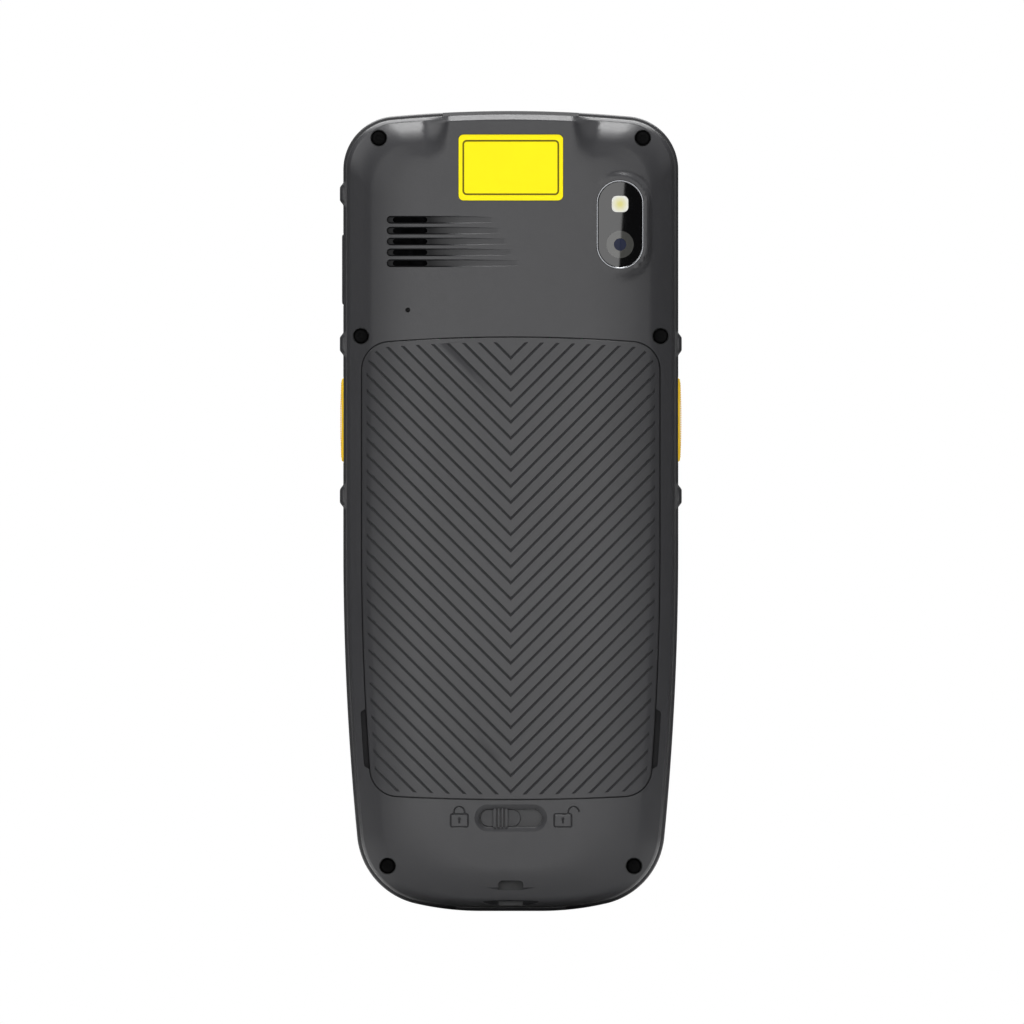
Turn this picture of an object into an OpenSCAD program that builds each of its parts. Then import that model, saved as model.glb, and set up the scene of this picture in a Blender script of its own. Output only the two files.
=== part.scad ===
// Portable barcode data terminal: a hand-held computer with a scan window in its top end, a camera
// and a locking battery cover in its back, and a display and a keypad in its front.
// It stands upright on its foot. X runs across, Y from the back (-) to the front (+), Z upwards.

/* [Body] */
// Width of the front housing, without its guards
body_w = 67; // [66:0.5:70]
// Height from the foot to the scan window
body_h = 160; // [158:0.5:166]
// Thickness from the back to the rim round the display
body_t = 18; // [17.8:0.1:20]
// Depth of the rear housing behind the parting plane
rear_depth = 10; // [9.8:0.1:11]
// Wall of both housings
wall = 1.8; // [1.6:0.1:2]
// Width of the flat that the terminal stands on
foot_w = 12; // [8:0.5:16]
// How far the lip of the front housing reaches back under the rear housing
chin_reach = 4.4; // [3:0.2:5]
// Width of that lip
chin_w = 22; // [16:1:30]

/* [Outline] */
// Radius of the bottom end beside the foot
bottom_r = 58; // [52:1:70]
// Radius of the two bottom corners
bottom_corner_r = 15.1; // [12:0.1:17]
// Radius of the long taper of the flanks
flank_r = 595; // [500:5:800]
// Height where the body is at its widest
widest_z = 72.3; // [66:0.5:80]
// Radius of the top end
top_r = 260; // [220:5:320]
// Radius of the two top corners
top_corner_r = 10.7; // [9:0.1:13]

/* [Rear housing] */
// Step from the front housing in to the rear housing, all round
rear_step = 0.7; // [0.5:0.1:1]
// Depth of the upright flank of the rear housing
flank_h = 4.2; // [3.6:0.1:4.6]
// Width of the sloping facet between the flank and the crowned back
facet_w = 3.2; // [2.8:0.1:3.6]
// Width of the crown beside the flat middle of the back
crown_w = 14; // [12:0.5:15]
// How far the crown falls from the flat middle to the facet
crown_drop = 1.9; // [1.5:0.1:2]
// Half width of the flat brow over the scan engine
brow_half_w = 13.8; // [12.5:0.1:14]
// Width of the slope on each side of the brow
brow_slope_w = 3.6; // [3:0.1:5]
// Height of the brow, measured down from the top
brow_h = 24; // [22:0.5:26]

/* [Front housing] */
// Height of the rim round the display above the face
rim_h = 0.8; // [0.5:0.1:1]
// Width of that rim
rim_w = 1.5; // [1:0.1:2]
// Width of the rolled front edge
roll_w = 2.4; // [1.8:0.1:2.8]
// Depth of the rolled front edge
roll_h = 2.8; // [2:0.1:3.2]
// Thickness of the face over the keypad
face_t = 1.2; // [1:0.1:1.4]
// How far the guards stand out of the flanks
guard_h = 0.74; // [0.5:0.02:0.9]
// Length of one guard along the flank
guard_l = 4.8; // [4:0.1:5.4]
// Distance from a trigger's middle to the guard above it and the one below it
guard_reach = 15.2; // [13:0.1:16]
// Distance from the volume key's middle up to its guard
volume_guard_reach = 15.1; // [12:0.1:16]

/* [Display] */
// Width of the housing beside the cover glass
glass_side = 4; // [3.6:0.1:5]
// Gap between the cover glass and the top row of keys
glass_key_gap = 2.65; // [2.5:0.05:4]
// Thickness of the cover glass
glass_t = 1.2; // [1:0.1:1.3]
// Gap between the top of the glass and the top end
glass_top = 7; // [6.6:0.1:8]
// How far the glass lies below the rim
glass_sink = 0.6; // [0.4:0.1:0.8]
// Width of the ledge that the glass is glued to
ledge_w = 2.2; // [1.8:0.1:2.6]
// Thickness of the display panel
panel_t = 2.3; // [1.8:0.1:2.4]

/* [Keypad] */
// Width of the housing beside the keypad
keypad_side = 8.3; // [7.6:0.1:10]
// Height of a key
key_h = 6.9; // [6:0.1:7.1]
// Width of the scan key
scan_key_w = 19; // [17:0.5:20]
// Gap between the key columns
key_gap_x = 2.4; // [1.8:0.1:3]
// Gap between the key rows
key_gap_z = 1.7; // [1.5:0.1:1.9]
// Height of the lowest key row
keypad_z = 16.6; // [16.2:0.1:16.8]
// How far a key stands above the face
key_proud = 0.7; // [0.4:0.1:0.8]
// Travel of a key
key_travel = 0.4; // [0.3:0.05:0.45]

/* [Battery cover] */
// Distance from the body's outline in to the cover's edge
cover_inset = 3.75; // [3.5:0.05:4.2]
// Height of the cover's lower edge
cover_z0 = 22.36; // [22.2:0.02:22.8]
// Distance from the top end down to the cover's upper edge
cover_drop = 45.3; // [45:0.1:46]
// Radius of the upper edge
cover_top_r = 324; // [280:4:400]
// Radius of the lower edge
cover_bottom_r = 432; // [360:4:500]
// Radius of the cover's corners
cover_corner_r = 5.6; // [4.6:0.1:6.4]
// Thickness of the cover
cover_t = 1.6; // [1.4:0.1:1.7]
// Gap between the cover's edge and the rear housing
cover_gap = 0.15; // [0.1:0.01:0.2]
// Distance between the chevron grooves, along the cover
groove_pitch = 3.214; // [2.6:0.002:4]
// Width of a groove
groove_w = 0.4; // [0.3:0.05:0.6]
// Depth of a groove
groove_depth = 0.3; // [0.2:0.05:0.4]
// Plain border round the grooves
groove_border = 0.95; // [0.8:0.05:1.5]
// Distance from the tip of the top chevron to the cover's upper edge
groove_start = 4.1; // [3:0.1:6]
// Length of the finger notches beside the cover
notch_l = 12; // [10:0.5:14]
// Distance from the cover's lower edge up to the notches' middle
notch_up = 12; // [8:0.5:20]
// Reach of the two hooks behind the rear housing's edge
hook_reach = 2.2; // [1.8:0.1:2.3]

/* [Battery] */
// Distance from the flank in to the battery pack
battery_side = 9; // [9:0.1:11]
// Distance from the cover's lower edge up to the battery pack
battery_lift = 11.64; // [11.2:0.02:13]
// Distance from the battery pack up to the cover's upper edge
battery_drop = 14.7; // [14:0.1:18]

/* [Lock] */
// Distance from the cover's lower edge down to the middle of the lock's slot
lock_drop = 3.76; // [3.6:0.02:3.9]
// Length of the slot
lock_slot_l = 12.7; // [12.4:0.1:13]
// Width of the slot
lock_slot_w = 3.6; // [3.4:0.1:3.7]
// Travel of the lock slide
lock_travel = 4.3; // [4:0.1:4.5]
// Depth of the slot from the flat middle of the back to its floor
lock_slot_depth = 1.7; // [1.6:0.05:1.8]
// Width of the ribbed knob along the slot
knob_w = 3; // [2.6:0.1:3.4]

/* [Strap bar] */
// Width of the strap slot
strap_w = 5; // [4:0.2:6]
// Height of the bar's lower edge
strap_bar_z = 2; // [1.9:0.05:2.1]
// Height of the bar
strap_bar_h = 2.3; // [2:0.1:2.5]

/* [Back] */
// Width of the label
label_w = 20.9; // [18:0.1:22]
// Height of the label
label_h = 13.2; // [12:0.1:14]
// Distance from the top end down to the label's middle
label_drop = 11.3; // [10.6:0.1:11.6]
// Distance from the flank in to the camera window's middle
camera_side = 11.65; // [11.5:0.05:11.9]
// Distance from the top end down to the camera window's middle
camera_drop = 22.7; // [22.2:0.1:23]
// Width of the camera window
camera_w = 9.4; // [9.2:0.1:9.6]
// Height of the camera window
camera_h = 17.8; // [17.4:0.1:18]
// Distance from the flank in to the outer end of the speaker slots
speaker_side = 9.9; // [9.8:0.1:11]
// Distance from the top end down to the middle of the speaker slots
speaker_drop = 26.1; // [25:0.1:27]
// Number of speaker slots
speaker_slots = 5; // [4:1:5]
// Distance between the speaker slots
speaker_pitch = 2.17; // [2.1:0.01:2.3]
// Places of the top screws, in from the flank and down from the top end
top_screw = [7.1, 5.4]; // [3:0.05:12]
// Places of the middle screws, in from the flank and up from the cover's upper edge
mid_screw = [3.55, 0.3]; // [0:0.05:4]
// Distance of the bottom screws from the edge of the rounded corner
low_screw_in = 3.6; // [3.4:0.05:4.4]
// Direction from the corner's middle to its screw, below level
low_screw_a = 38.8; // [34:0.2:44]
// Diameter of the counterbores of the housing screws
screw_bore_d = 3.3; // [3.2:0.1:3.6]
// Diameter of the housing screws
screw_d = 2; // [1.6:0.1:2]

/* [Side keys] */
// Distance from the top end down to the triggers' middle
trigger_drop = 61.8; // [61:0.1:63]
// Length of a trigger
trigger_l = 16.8; // [15:0.1:17]
// Travel of a trigger
trigger_travel = 0.5; // [0.3:0.05:0.5]
// Distance from the top end down to the volume key's middle
volume_drop = 31.7; // [31:0.1:32.2]
// Length of the volume key
volume_l = 14.2; // [13:0.1:14.6]

/* [Hidden] */
$fn = 48;
ARC_STEPS = 6;     // steps of each corner arc
LONG_STEPS = 4;    // steps of each long arc
fit = 0.1;         // clearance round a piece that is set in
slip = 0.15;       // clearance round a piece that moves
over = 1;          // how far a cut runs past the face that it opens

// Planes from back to front
back_y = -body_t / 2;
front_y = body_t / 2;
part_y = back_y + rear_depth;
face_y = front_y - rim_h;
key_wall_y = face_y - face_t;
inner_back_y = back_y + wall;
glass_y1 = front_y - glass_sink;
glass_y0 = glass_y1 - glass_t;
seat_t = 1;
board_t = 1;
mat_t = 0.7;
mat_gap = 1.7;
can_t = 1.8;
can_gap = 0.4;
bay_floor_t = 1;
cover_space = 1.3;
mat_y1 = key_wall_y - mat_gap;
keyboard_y1 = mat_y1 - mat_t;
keyboard_y0 = keyboard_y1 - board_t;
board_y1 = keyboard_y0 - can_gap - can_t;
board_y0 = board_y1 - board_t;
battery_y1 = board_y0 - bay_floor_t;
battery_y0 = back_y + cover_t + cover_space;

// Outline of the body: arcs that run into each other
half_w = body_w / 2;
foot_c = [foot_w / 2, bottom_r];
flank_c = [half_w - flank_r, widest_z];
reach_foot = bottom_r - bottom_corner_r;
reach_flank = flank_r - bottom_corner_r;
link = norm(flank_c - foot_c);
link_u = (flank_c - foot_c) / link;
link_along = (pow(reach_foot, 2) - pow(reach_flank, 2) + pow(link, 2)) / (2 * link);
link_across = sqrt(pow(reach_foot, 2) - pow(link_along, 2));
corner_c = foot_c + link_u * link_along + link_across * [-link_u.y, link_u.x];
top_c = [0, body_h - top_r];
shoulder_x = half_w - top_corner_r;
shoulder_c = [shoulder_x, top_c.y + sqrt(pow(top_r - top_corner_r, 2) - pow(shoulder_x, 2))];
foot_a = angle_of(corner_c - foot_c);
flank_a = angle_of(corner_c - flank_c);
shoulder_a = angle_of(shoulder_c - top_c);

// Keypad and display places
key_rows = 4;
key_cols = 3;
key_flange = 0.5;
flange_t = 0.5;
top_row_gap = 1.6;
key_w = (body_w - 2 * keypad_side - (key_cols - 1) * key_gap_x) / key_cols;
key_pitch_x = key_w + key_gap_x;
key_pitch_z = key_h + key_gap_z;
top_row_z = keypad_z + (key_rows - 1) * key_pitch_z + key_h + top_row_gap;
glass_w = body_w - 2 * glass_side;
glass_z1 = body_h - glass_top;
glass_z0 = top_row_z + key_h / 2 + glass_key_gap;
glass_h = glass_z1 - glass_z0;
glass_z = (glass_z0 + glass_z1) / 2;
glass_r = 3;
connector_h = 2;
panel_w = glass_w - 2 * ledge_w;
panel_h = glass_h - 2 * ledge_w - connector_h;
key_y1 = face_y + key_proud;
flange_y1 = key_wall_y - slip;
plunger_y0 = mat_y1 + 0.9;
dome_h = 0.9 - key_travel - 0.1;
side_key_x = scan_key_w / 2 + key_flange + 0.6 + key_flange;
edge_key_w = key_pitch_x + key_w / 2 - side_key_x;
keypad_w = 2 * (key_pitch_x + key_w / 2 + key_flange);
keypad_z0 = keypad_z - key_h / 2 - key_flange;
keypad_z1 = top_row_z + key_h / 2 + key_flange;

// Places on the back, worked out from the ends and the flank
cover_z1 = body_h - cover_drop;
battery_w = body_w - 2 * battery_side;
battery_z = cover_z0 + battery_lift;
battery_h = cover_z1 - battery_drop - battery_z;
lock_z = cover_z0 - lock_drop;
label_z = body_h - label_drop;
camera_x = half_w - camera_side;
camera_z = body_h - camera_drop;
trigger_z = body_h - trigger_drop;
volume_z = body_h - volume_drop;

// Screw places and depths
screw_spots = [[half_w - top_screw.x, body_h - top_screw.y],
        [half_w - mid_screw.x, cover_z1 + mid_screw.y],
        corner_c + (bottom_corner_r - low_screw_in) * [cos(low_screw_a), -sin(low_screw_a)]];
boss_d = 5.2;
head_seat_y = part_y - 3.2;
head_t = 1.4;
insert_d = 3;
insert_l = 4;

// Lock, its keeper and the catch that holds the cover's lug
slide_x0 = -lock_slot_l / 2 + 0.3;
slide_l = lock_slot_l - 0.3 - 0.1 - lock_travel;
knob_x = slide_x0 + slide_l / 2;
knob_h = lock_slot_w + 0.28;
flange_side = 1.2;
slot_floor_y = back_y + lock_slot_depth;
slot_floor_t = 0.6;
neck_x = slide_x0 + 1.9;
neck_w = 1.4;
neck_h = 1.6;
flange_y0 = slot_floor_y + slot_floor_t + 0.05;
keeper_y0 = flange_y0 + 0.65;
keeper_t = 0.8;
keeper_y1 = keeper_y0 + keeper_t;
keeper_w = 19.2;
keeper_screw_x = keeper_w / 2 + 1.6;
keeper_screw_d = 1.2;
keeper_head_d = 2.4;
ear_d = 4.2;
keeper_z0 = lock_z - 4.4;
keeper_z1 = cover_z0 + 0.54;
foot_w0 = 3.4;
hook_x0 = 8;
hook_w = 6;
hook_l = 4;
hook_r = 3;
tilt_up = 0.1;
lug_w = 12;
lug_z0 = keeper_z1 + 0.75;
lug_t = 1.5;
lug_y1 = keeper_y1 + 2.1;
catch_z = keeper_z1 - 0.15;
catch_t = 0.3;

// Strap channel behind the bar
strap_depth = 4.9;
strap_t = 1.4;

// Camera, speaker and scan engine
lens_z = camera_z - 4;
flash_z = camera_z + 4.2;
camera_glass_y1 = back_y + 0.9;
camera_seat_y = inner_back_y + 0.6;
speaker_x0 = speaker_side - half_w;
speaker_slot_l = 6.9;
speaker_slot_w = 1.06;
speaker_groove_w = 1.57;
speaker_z = body_h - speaker_drop;
speaker_seat_y = inner_back_y + 1.1;
speaker_w = 10.2;
speaker_h = 13;
speaker_t = 3.05;
speaker_x = speaker_x0 + speaker_slot_l / 2 + 0.6;
mesh_t = 0.15;
mic_spot = [12.9 - half_w, cover_z1 + 5.5];
mic_seat_y = inner_back_y + 0.9;
mic_w = 3.8;
mic_h = 3;
mic_t = 1.1;
engine_w = 21.6;
engine_h = 14.6;
engine_z1 = body_h - 3.4;
engine_z0 = engine_z1 - engine_h;
engine_front = 2.4;
window_w = 27.2;
window_t = 1.6;
window_y0 = inner_back_y - 0.1;
eye_x = -4.6;
eye_d = 4.6;
aimer_x = 5;
aimer_d = 3;
eye_y = inner_back_y + 4.6;

// Boards and what stands on them
board_side = 6.5;
board_half = half_w - board_side;
board_z0 = 20;
board_z1 = engine_z0 - 1;
tongue_w = 18;
tongue_z0 = 3;
can_edge = 3;
can_w = 20;
low_can = [board_z0 + 6, board_z0 + 32];
side_can = [board_z0 + 10, board_z0 + 30];
high_can = [board_z0 + 50, board_z0 + 76];
high_can_w = 28;
motor_d = 8;
motor_t = 2.7;
motor_x = board_half - 12;
motor_z = engine_z0 - 10;
usb_w = 8.9;
usb_h = 3.2;
usb_l = 7.4;
usb_shell_t = 0.3;
usb_y = board_y1 + usb_h / 2;
usb_z0 = 0.9;
usb_tongue = [6.6, 0.7];
earpiece_z = body_h - 3.7;

// Card holder and contacts beside the battery
card_w = 6;
card_h = 12;
card_rim = 1;
card_x0 = 2.5 - battery_w / 2;
card_x1 = card_x0 + 2 * card_w + 4 * card_rim;
card_z0 = battery_z + 7;
card_z1 = card_z0 + card_h + 2 * card_rim;
contacts_w = 14;
contacts_h = 4;
contacts_gap = 0.3;
contact_pitch = 3;
contact_d = 1.2;
contact_reach = 0.9;
pull_tab_w = 9;
pull_tab_h = 22;
pull_tab_t = 0.15;

// Seal between the cover and the rear housing
seal_off = 2.2;
seal_w = 1;
seal_h = 0.7;

// Side keys
side_key_y0 = part_y + slip;
side_key_y1 = glass_y0 - seat_t - slip;
flange_x1 = half_w - wall - 0.2;
side_flange_t = 0.9;
side_flange_l = 0.9;
trigger_proud = 0.3;
volume_proud = 0.38;
rock_room = 0.35;
rock_x = flange_x1 - rock_room - side_flange_t;
rock_r = 0.7;
switch_t = 2.4;
switch_l = 4;
switch_x1 = flange_x1 - side_flange_t - trigger_travel - 0.1;
volume_switch_z = 4.4;

KEYS = ["key_menu", "key_scan", "key_power", "key_1", "key_2", "key_3", "key_4", "key_5", "key_6",
        "key_7", "key_8", "key_9", "key_clear", "key_0", "key_enter"];

function angle_of(v) = atan2(v.y, v.x);

// Points along an arc, without its first point
function arc(c, r, a0, a1, n) =
    [for (i = [1:n]) let (a = a0 + (a1 - a0) * i / n) c + r * [cos(a), sin(a)]];

// Right-hand edge of the outline set in by d, from the foot up to the middle of the top
function right_edge(d) = concat(
    [[foot_c.x, d]],
    arc(foot_c, bottom_r - d, -90, foot_a, LONG_STEPS),
    arc(corner_c, bottom_corner_r - d, foot_a, flank_a, ARC_STEPS),
    arc(flank_c, flank_r - d, flank_a, 0, LONG_STEPS),
    [[half_w - d, shoulder_c.y]],
    arc(shoulder_c, top_corner_r - d, 0, shoulder_a, ARC_STEPS),
    arc(top_c, top_r - d, shoulder_a, 90, LONG_STEPS));

// Whole outline set in by d
function outline(d) = let (r = right_edge(d))
    concat(r, [for (i = [len(r) - 2:-1:0]) [-r[i].x, r[i].y]]);

// Moves an outline point inwards by t, less at the bottom end than at the flanks
bottom_share = 0.45;
function drawn_in(p, d, t) = let (
    w = half_w - d,
    up = body_h - d - widest_z,
    down = widest_z - d,
    z = p.y - widest_z)
    [p.x * (w - t) / w, widest_z + z * (z > 0 ? 1 - t / up : 1 - t * bottom_share / down)];

// Profile of the back, as [distance in from the edge, depth behind the parting plane]
crown_end = facet_w + crown_w;
function crown_depth(t) = rear_depth - crown_drop * pow((crown_end - t) / crown_w, 2);
function back_profile(crown_steps) = concat(
    [[0, flank_h], [0.6, flank_h + 1.4]],
    [for (i = [0:crown_steps]) let (t = facet_w + crown_w * i / crown_steps) [t, crown_depth(t)]]);

// Joins rings of points, listed from front to back, into one closed solid
module loft(rings) {
    n = len(rings[0]);
    m = len(rings);
    polyhedron(
        points = [for (r = rings) each r],
        faces = concat(
            [[for (i = [0:n - 1]) i]],
            [for (k = [0:m - 2], i = [0:n - 1]) let (j = (i + 1) % n, a = k * n, b = (k + 1) * n)
                each [[a + i, b + i, b + j], [a + i, b + j, a + j]]],
            [[for (i = [n - 1:-1:0]) (m - 1) * n + i]]),
        convexity = 4);
}

// Solid inside of the rear housing's skin, at depth d below its surface
module back_form(d, crown_steps) {
    inset = rear_step + d;
    base = outline(inset);
    open_y = d > 0 ? part_y + over : part_y;
    loft(concat(
        [[for (p = base) [p.x, open_y, p.y]]],
        [for (s = back_profile(crown_steps)) [for (p = base) let (q = drawn_in(p, inset, s[0]))
            [q.x, part_y - s[1] + d, q.y]]]));
}

// Extrudes a shape drawn in x and z, from depth y0 to depth y1
module slab(y0, y1) {
    translate([0, y1, 0]) rotate([90, 0, 0]) linear_extrude(y1 - y0) children();
}

// Box from one corner to the opposite one
module block(a, b) {
    translate(a) cube(b - a);
}

module rounded(w, h, r) {
    square([w - 2 * r, h], center = true);
    square([w, h - 2 * r], center = true);
    for (x = [-1, 1], y = [-1, 1])
        translate([x * (w / 2 - r), y * (h / 2 - r)]) circle(r);
}

// Slot shape with round ends; the longer side is the straight one
module stadium(w, h) {
    r = min(w, h) / 2;
    square([w > h ? w - 2 * r : w, w > h ? h : h - 2 * r], center = true);
    for (s = [-1, 1])
        translate(w > h ? [s * (w / 2 - r), 0] : [0, s * (h / 2 - r)]) circle(r);
}

// Puts the children on both sides of the middle
module both_sides() {
    children();
    mirror([1, 0, 0]) children();
}

module screw_places() {
    for (p = screw_spots, s = [-1, 1]) translate([s * p.x, p.y]) children();
}

// ---- Front housing ----

// A guard is a low ridge on the flank that keeps the side keys from being knocked
module guard(z) {
    top = half_w + guard_h;
    polygon([[half_w - 0.6, z - guard_l / 2 - 0.4], [half_w, z - guard_l / 2], [top, z - guard_l / 5],
        [top, z + guard_l / 5], [half_w, z + guard_l / 2], [half_w - 0.6, z + guard_l / 2 + 0.4]]);
}

module front_form() {
    steps = 4;
    rings = [for (i = [0:steps]) let (a = 90 - 90 * i / steps)
        [roll_w * (1 - cos(a)), face_y - roll_h * (1 - sin(a))]];
    loft([for (s = concat(rings, [[0, part_y]])) [for (p = outline(s[0])) [p.x, s[1], p.y]]]);
    slab(face_y - rim_h, front_y) translate([0, glass_z])
        rounded(glass_w + 2 * rim_w, glass_h + 2 * rim_w, glass_r + rim_w);
    slab(part_y, face_y - roll_h) {
        both_sides() for (s = [-1, 1]) guard(trigger_z + s * guard_reach);
        mirror([1, 0]) guard(volume_z + volume_guard_reach);
    }
    // Lip that wraps under the rear housing and widens the foot
    slab(part_y - chin_reach, part_y) intersection() {
        difference() {
            polygon(outline(0));
            polygon(outline(rear_step));
        }
        translate([-chin_w / 2, -over]) square([chin_w, rear_step + 3]);
    }
}

module key_hole(w) {
    rounded(w + 2 * slip, key_h + 2 * slip, 1.3);
}

// Draws the children at each number key, with $col and $row set
module number_keys() {
    for ($row = [0:key_rows - 1], $col = [-1:1])
        translate([$col * key_pitch_x, keypad_z + $row * key_pitch_z]) children();
}

module side_slot(z, l, side) {
    block([side > 0 ? flange_x1 - 1 : -half_w - over, part_y - 0.01, z - l / 2 - slip],
        [side > 0 ? half_w + over : 1 - flange_x1, side_key_y1 + slip, z + l / 2 + slip]);
}

module front_housing() color([0.27, 0.27, 0.28]) difference() {
    union() {
        difference() {
            front_form();
            slab(part_y - 0.01, key_wall_y) polygon(outline(wall));
        }
        // Frame that carries the cover glass
        slab(glass_y0 - seat_t, face_y - 0.1) translate([0, glass_z])
            rounded(glass_w + 2 * rim_w, glass_h + 2 * rim_w, glass_r + rim_w);
        // Rib round the keypad that the keypad's board sits on
        slab(keyboard_y1, key_wall_y + 0.1) translate([0, (keypad_z0 + keypad_z1) / 2]) difference() {
            rounded(keypad_w + 3, keypad_z1 - keypad_z0 + 1.6, 1.2);
            rounded(keypad_w + 1, keypad_z1 - keypad_z0 + 0.4, 0.6);
        }
        slab(part_y, key_wall_y + 0.1) screw_places() circle(d = boss_d);
    }
    slab(glass_y0, front_y + over) translate([0, glass_z])
        rounded(glass_w + 2 * fit, glass_h + 2 * fit, glass_r);
    slab(glass_y0 - seat_t - over, glass_y0 + over) translate([0, glass_z])
        square([panel_w + 4 * fit, panel_h + 4 * fit], center = true);
    slab(key_wall_y - 0.01, face_y + over) {
        number_keys() key_hole(key_w);
        translate([0, top_row_z]) key_hole(scan_key_w);
        for (s = [-1, 1]) translate([s * (side_key_x + edge_key_w / 2), top_row_z]) key_hole(edge_key_w);
        translate([0, earpiece_z]) stadium(9, 1);
    }
    slab(part_y - over, part_y + insert_l) screw_places() circle(d = insert_d);
    side_slot(trigger_z, trigger_l, 1);
    side_slot(trigger_z, trigger_l, -1);
    side_slot(volume_z, volume_l, -1);
    // Mouth of the USB port
    translate([0, usb_y, -over]) linear_extrude(wall + 2 * over) stadium(usb_w + 3 * fit, usb_h + 2 * fit);
}

// ---- Rear housing ----

// Outline of the battery cover, set in by d
module cover_outline(d) {
    offset(r = cover_corner_r - d) offset(delta = -cover_corner_r) intersection() {
        polygon(outline(cover_inset));
        translate([0, cover_z1 - cover_top_r]) circle(cover_top_r, $fn = 180);
        translate([0, cover_z0 + cover_bottom_r]) circle(cover_bottom_r, $fn = 240);
    }
}

// Raised block over the scan engine, set in by d, with sloping sides and a bevelled upper edge
brow_bevel = 1;
brow_fall = 3.6;
module brow_form(d) {
    top = body_h - rear_step - (d > 0 ? 1.9 : 0);
    z0 = body_h - brow_h + d;
    foot_x = brow_half_w + brow_slope_w - d;
    hull() {
        block([d - brow_half_w, back_y + d, z0], [brow_half_w - d, back_y + d + 0.1, top - brow_bevel]);
        block([d - brow_half_w, back_y + d + brow_bevel, z0], [brow_half_w - d, part_y - over, top]);
        block([-foot_x, back_y + d + brow_fall, z0], [foot_x, d > 0 ? part_y + over : part_y, top]);
    }
}

module brow() {
    intersection() {
        slab(back_y, part_y) polygon(outline(rear_step));
        brow_form(0);
    }
}

// Shape of the camera window, grown by d all round
module camera_2d(d) {
    translate([camera_x, camera_z]) stadium(camera_w + d, camera_h + d);
}

module camera_island() {
    hull() {
        slab(back_y + 0.05, back_y + 0.2) camera_2d(1.6);
        slab(back_y + 1.5, back_y + 2) camera_2d(4);
    }
}

// Bevelled recess round the lock's slot
module lock_recess() {
    hull() {
        slab(back_y - 0.2, back_y) translate([0, lock_z]) stadium(lock_slot_l + 1.8, lock_slot_w + 1.8);
        slab(back_y + 0.6, back_y + 0.8) translate([0, lock_z]) stadium(lock_slot_l, lock_slot_w);
    }
}

// Crescent hollows above and below the strap bar
module strap_scoops() {
    bar_z1 = strap_bar_z + strap_bar_h;
    curve_r = 17.5;
    intersection() {
        rotate([0, 90, 0]) linear_extrude(2 * curve_r, center = true)
            polygon([[-bar_z1 - 2.2, back_y - over], [-bar_z1 - 2.2, back_y], [-bar_z1, back_y + 2.1],
                [-bar_z1, back_y - over]]);
        slab(back_y - over, part_y) translate([0, bar_z1 - 0.2 + curve_r]) circle(curve_r, $fn = 144);
    }
    rotate([0, 90, 0]) linear_extrude(strap_w + 7.6, center = true)
        polygon([[-strap_bar_z, back_y - over], [-strap_bar_z, back_y + 2.9], [-rear_step, back_y + 4.4],
            [-rear_step, back_y - over]]);
}

module bay_2d(margin) {
    translate([0, battery_z + battery_h / 2])
        rounded(battery_w + 2 * margin, battery_h + 2 * margin, 1 + margin);
}

// Rounded shape that reaches d past the middle line of the cover's seal
module seal_edge(d) {
    h = battery_h + 2 * seal_off + contacts_h - 0.4;
    translate([0, battery_z - seal_off - 0.3 + h / 2])
        rounded(battery_w + 2 * seal_off + 2 * d, h + 2 * d, 3 + d);
}

// Ring shape of the cover's seal, w wide
module seal_2d(w) {
    difference() {
        seal_edge(w / 2);
        seal_edge(-w / 2);
    }
}

// Shallow groove that leads into a speaker slot and runs out to the right
module speaker_groove(run) {
    fall = 1.4;
    translate([speaker_x0 - 0.45, back_y + 1.5, 0]) rotate([0, 0, -atan(fall / run)]) {
        translate([0, -3, -speaker_groove_w / 2]) cube([run + 6, 3, speaker_groove_w]);
        rotate([90, 0, 0]) cylinder(d = speaker_groove_w, h = 3);
    }
}

module rear_inside() {
    // Posts for the housing screws
    slab(back_y, part_y) screw_places() circle(d = boss_d);
    // Tub that holds the battery pack
    slab(back_y, board_y0) bay_2d(1.5);
    // Flat seats for the loudspeaker, the microphone and the camera
    block([speaker_x - speaker_w / 2, back_y, speaker_z - speaker_h / 2 - fit],
        [speaker_x + speaker_w / 2, speaker_seat_y, speaker_z + speaker_h / 2 + fit]);
    block([mic_spot.x - mic_w / 2 - 0.6, back_y, mic_spot.y - mic_h / 2 - 0.6],
        [mic_spot.x + mic_w / 2 + 0.6, mic_seat_y, mic_spot.y + mic_h / 2 + 0.6]);
    slab(back_y, camera_seat_y) translate([camera_x, camera_z]) rounded(camera_w + 1.4, camera_h + 1.8, 2);
    // Walls round the strap channel
    block([-strap_w / 2 - 1.4, back_y, 0],
        [strap_w / 2 + 1.4, back_y + strap_depth + 1.2, strap_bar_z + strap_bar_h + 3.4]);
    // Rail and screw posts for the lock's keeper
    block([-keeper_w / 2, back_y, keeper_z0], [keeper_w / 2, keeper_y0, keeper_z0 + 1.2]);
    both_sides() slab(back_y, keeper_y0) translate([keeper_screw_x, lock_z]) circle(d = ear_d);
    // Floor of the lock's slot
    slab(back_y, slot_floor_y + slot_floor_t) translate([0, lock_z]) rounded(2 * keeper_screw_x, 6.4, 1);
}

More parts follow.
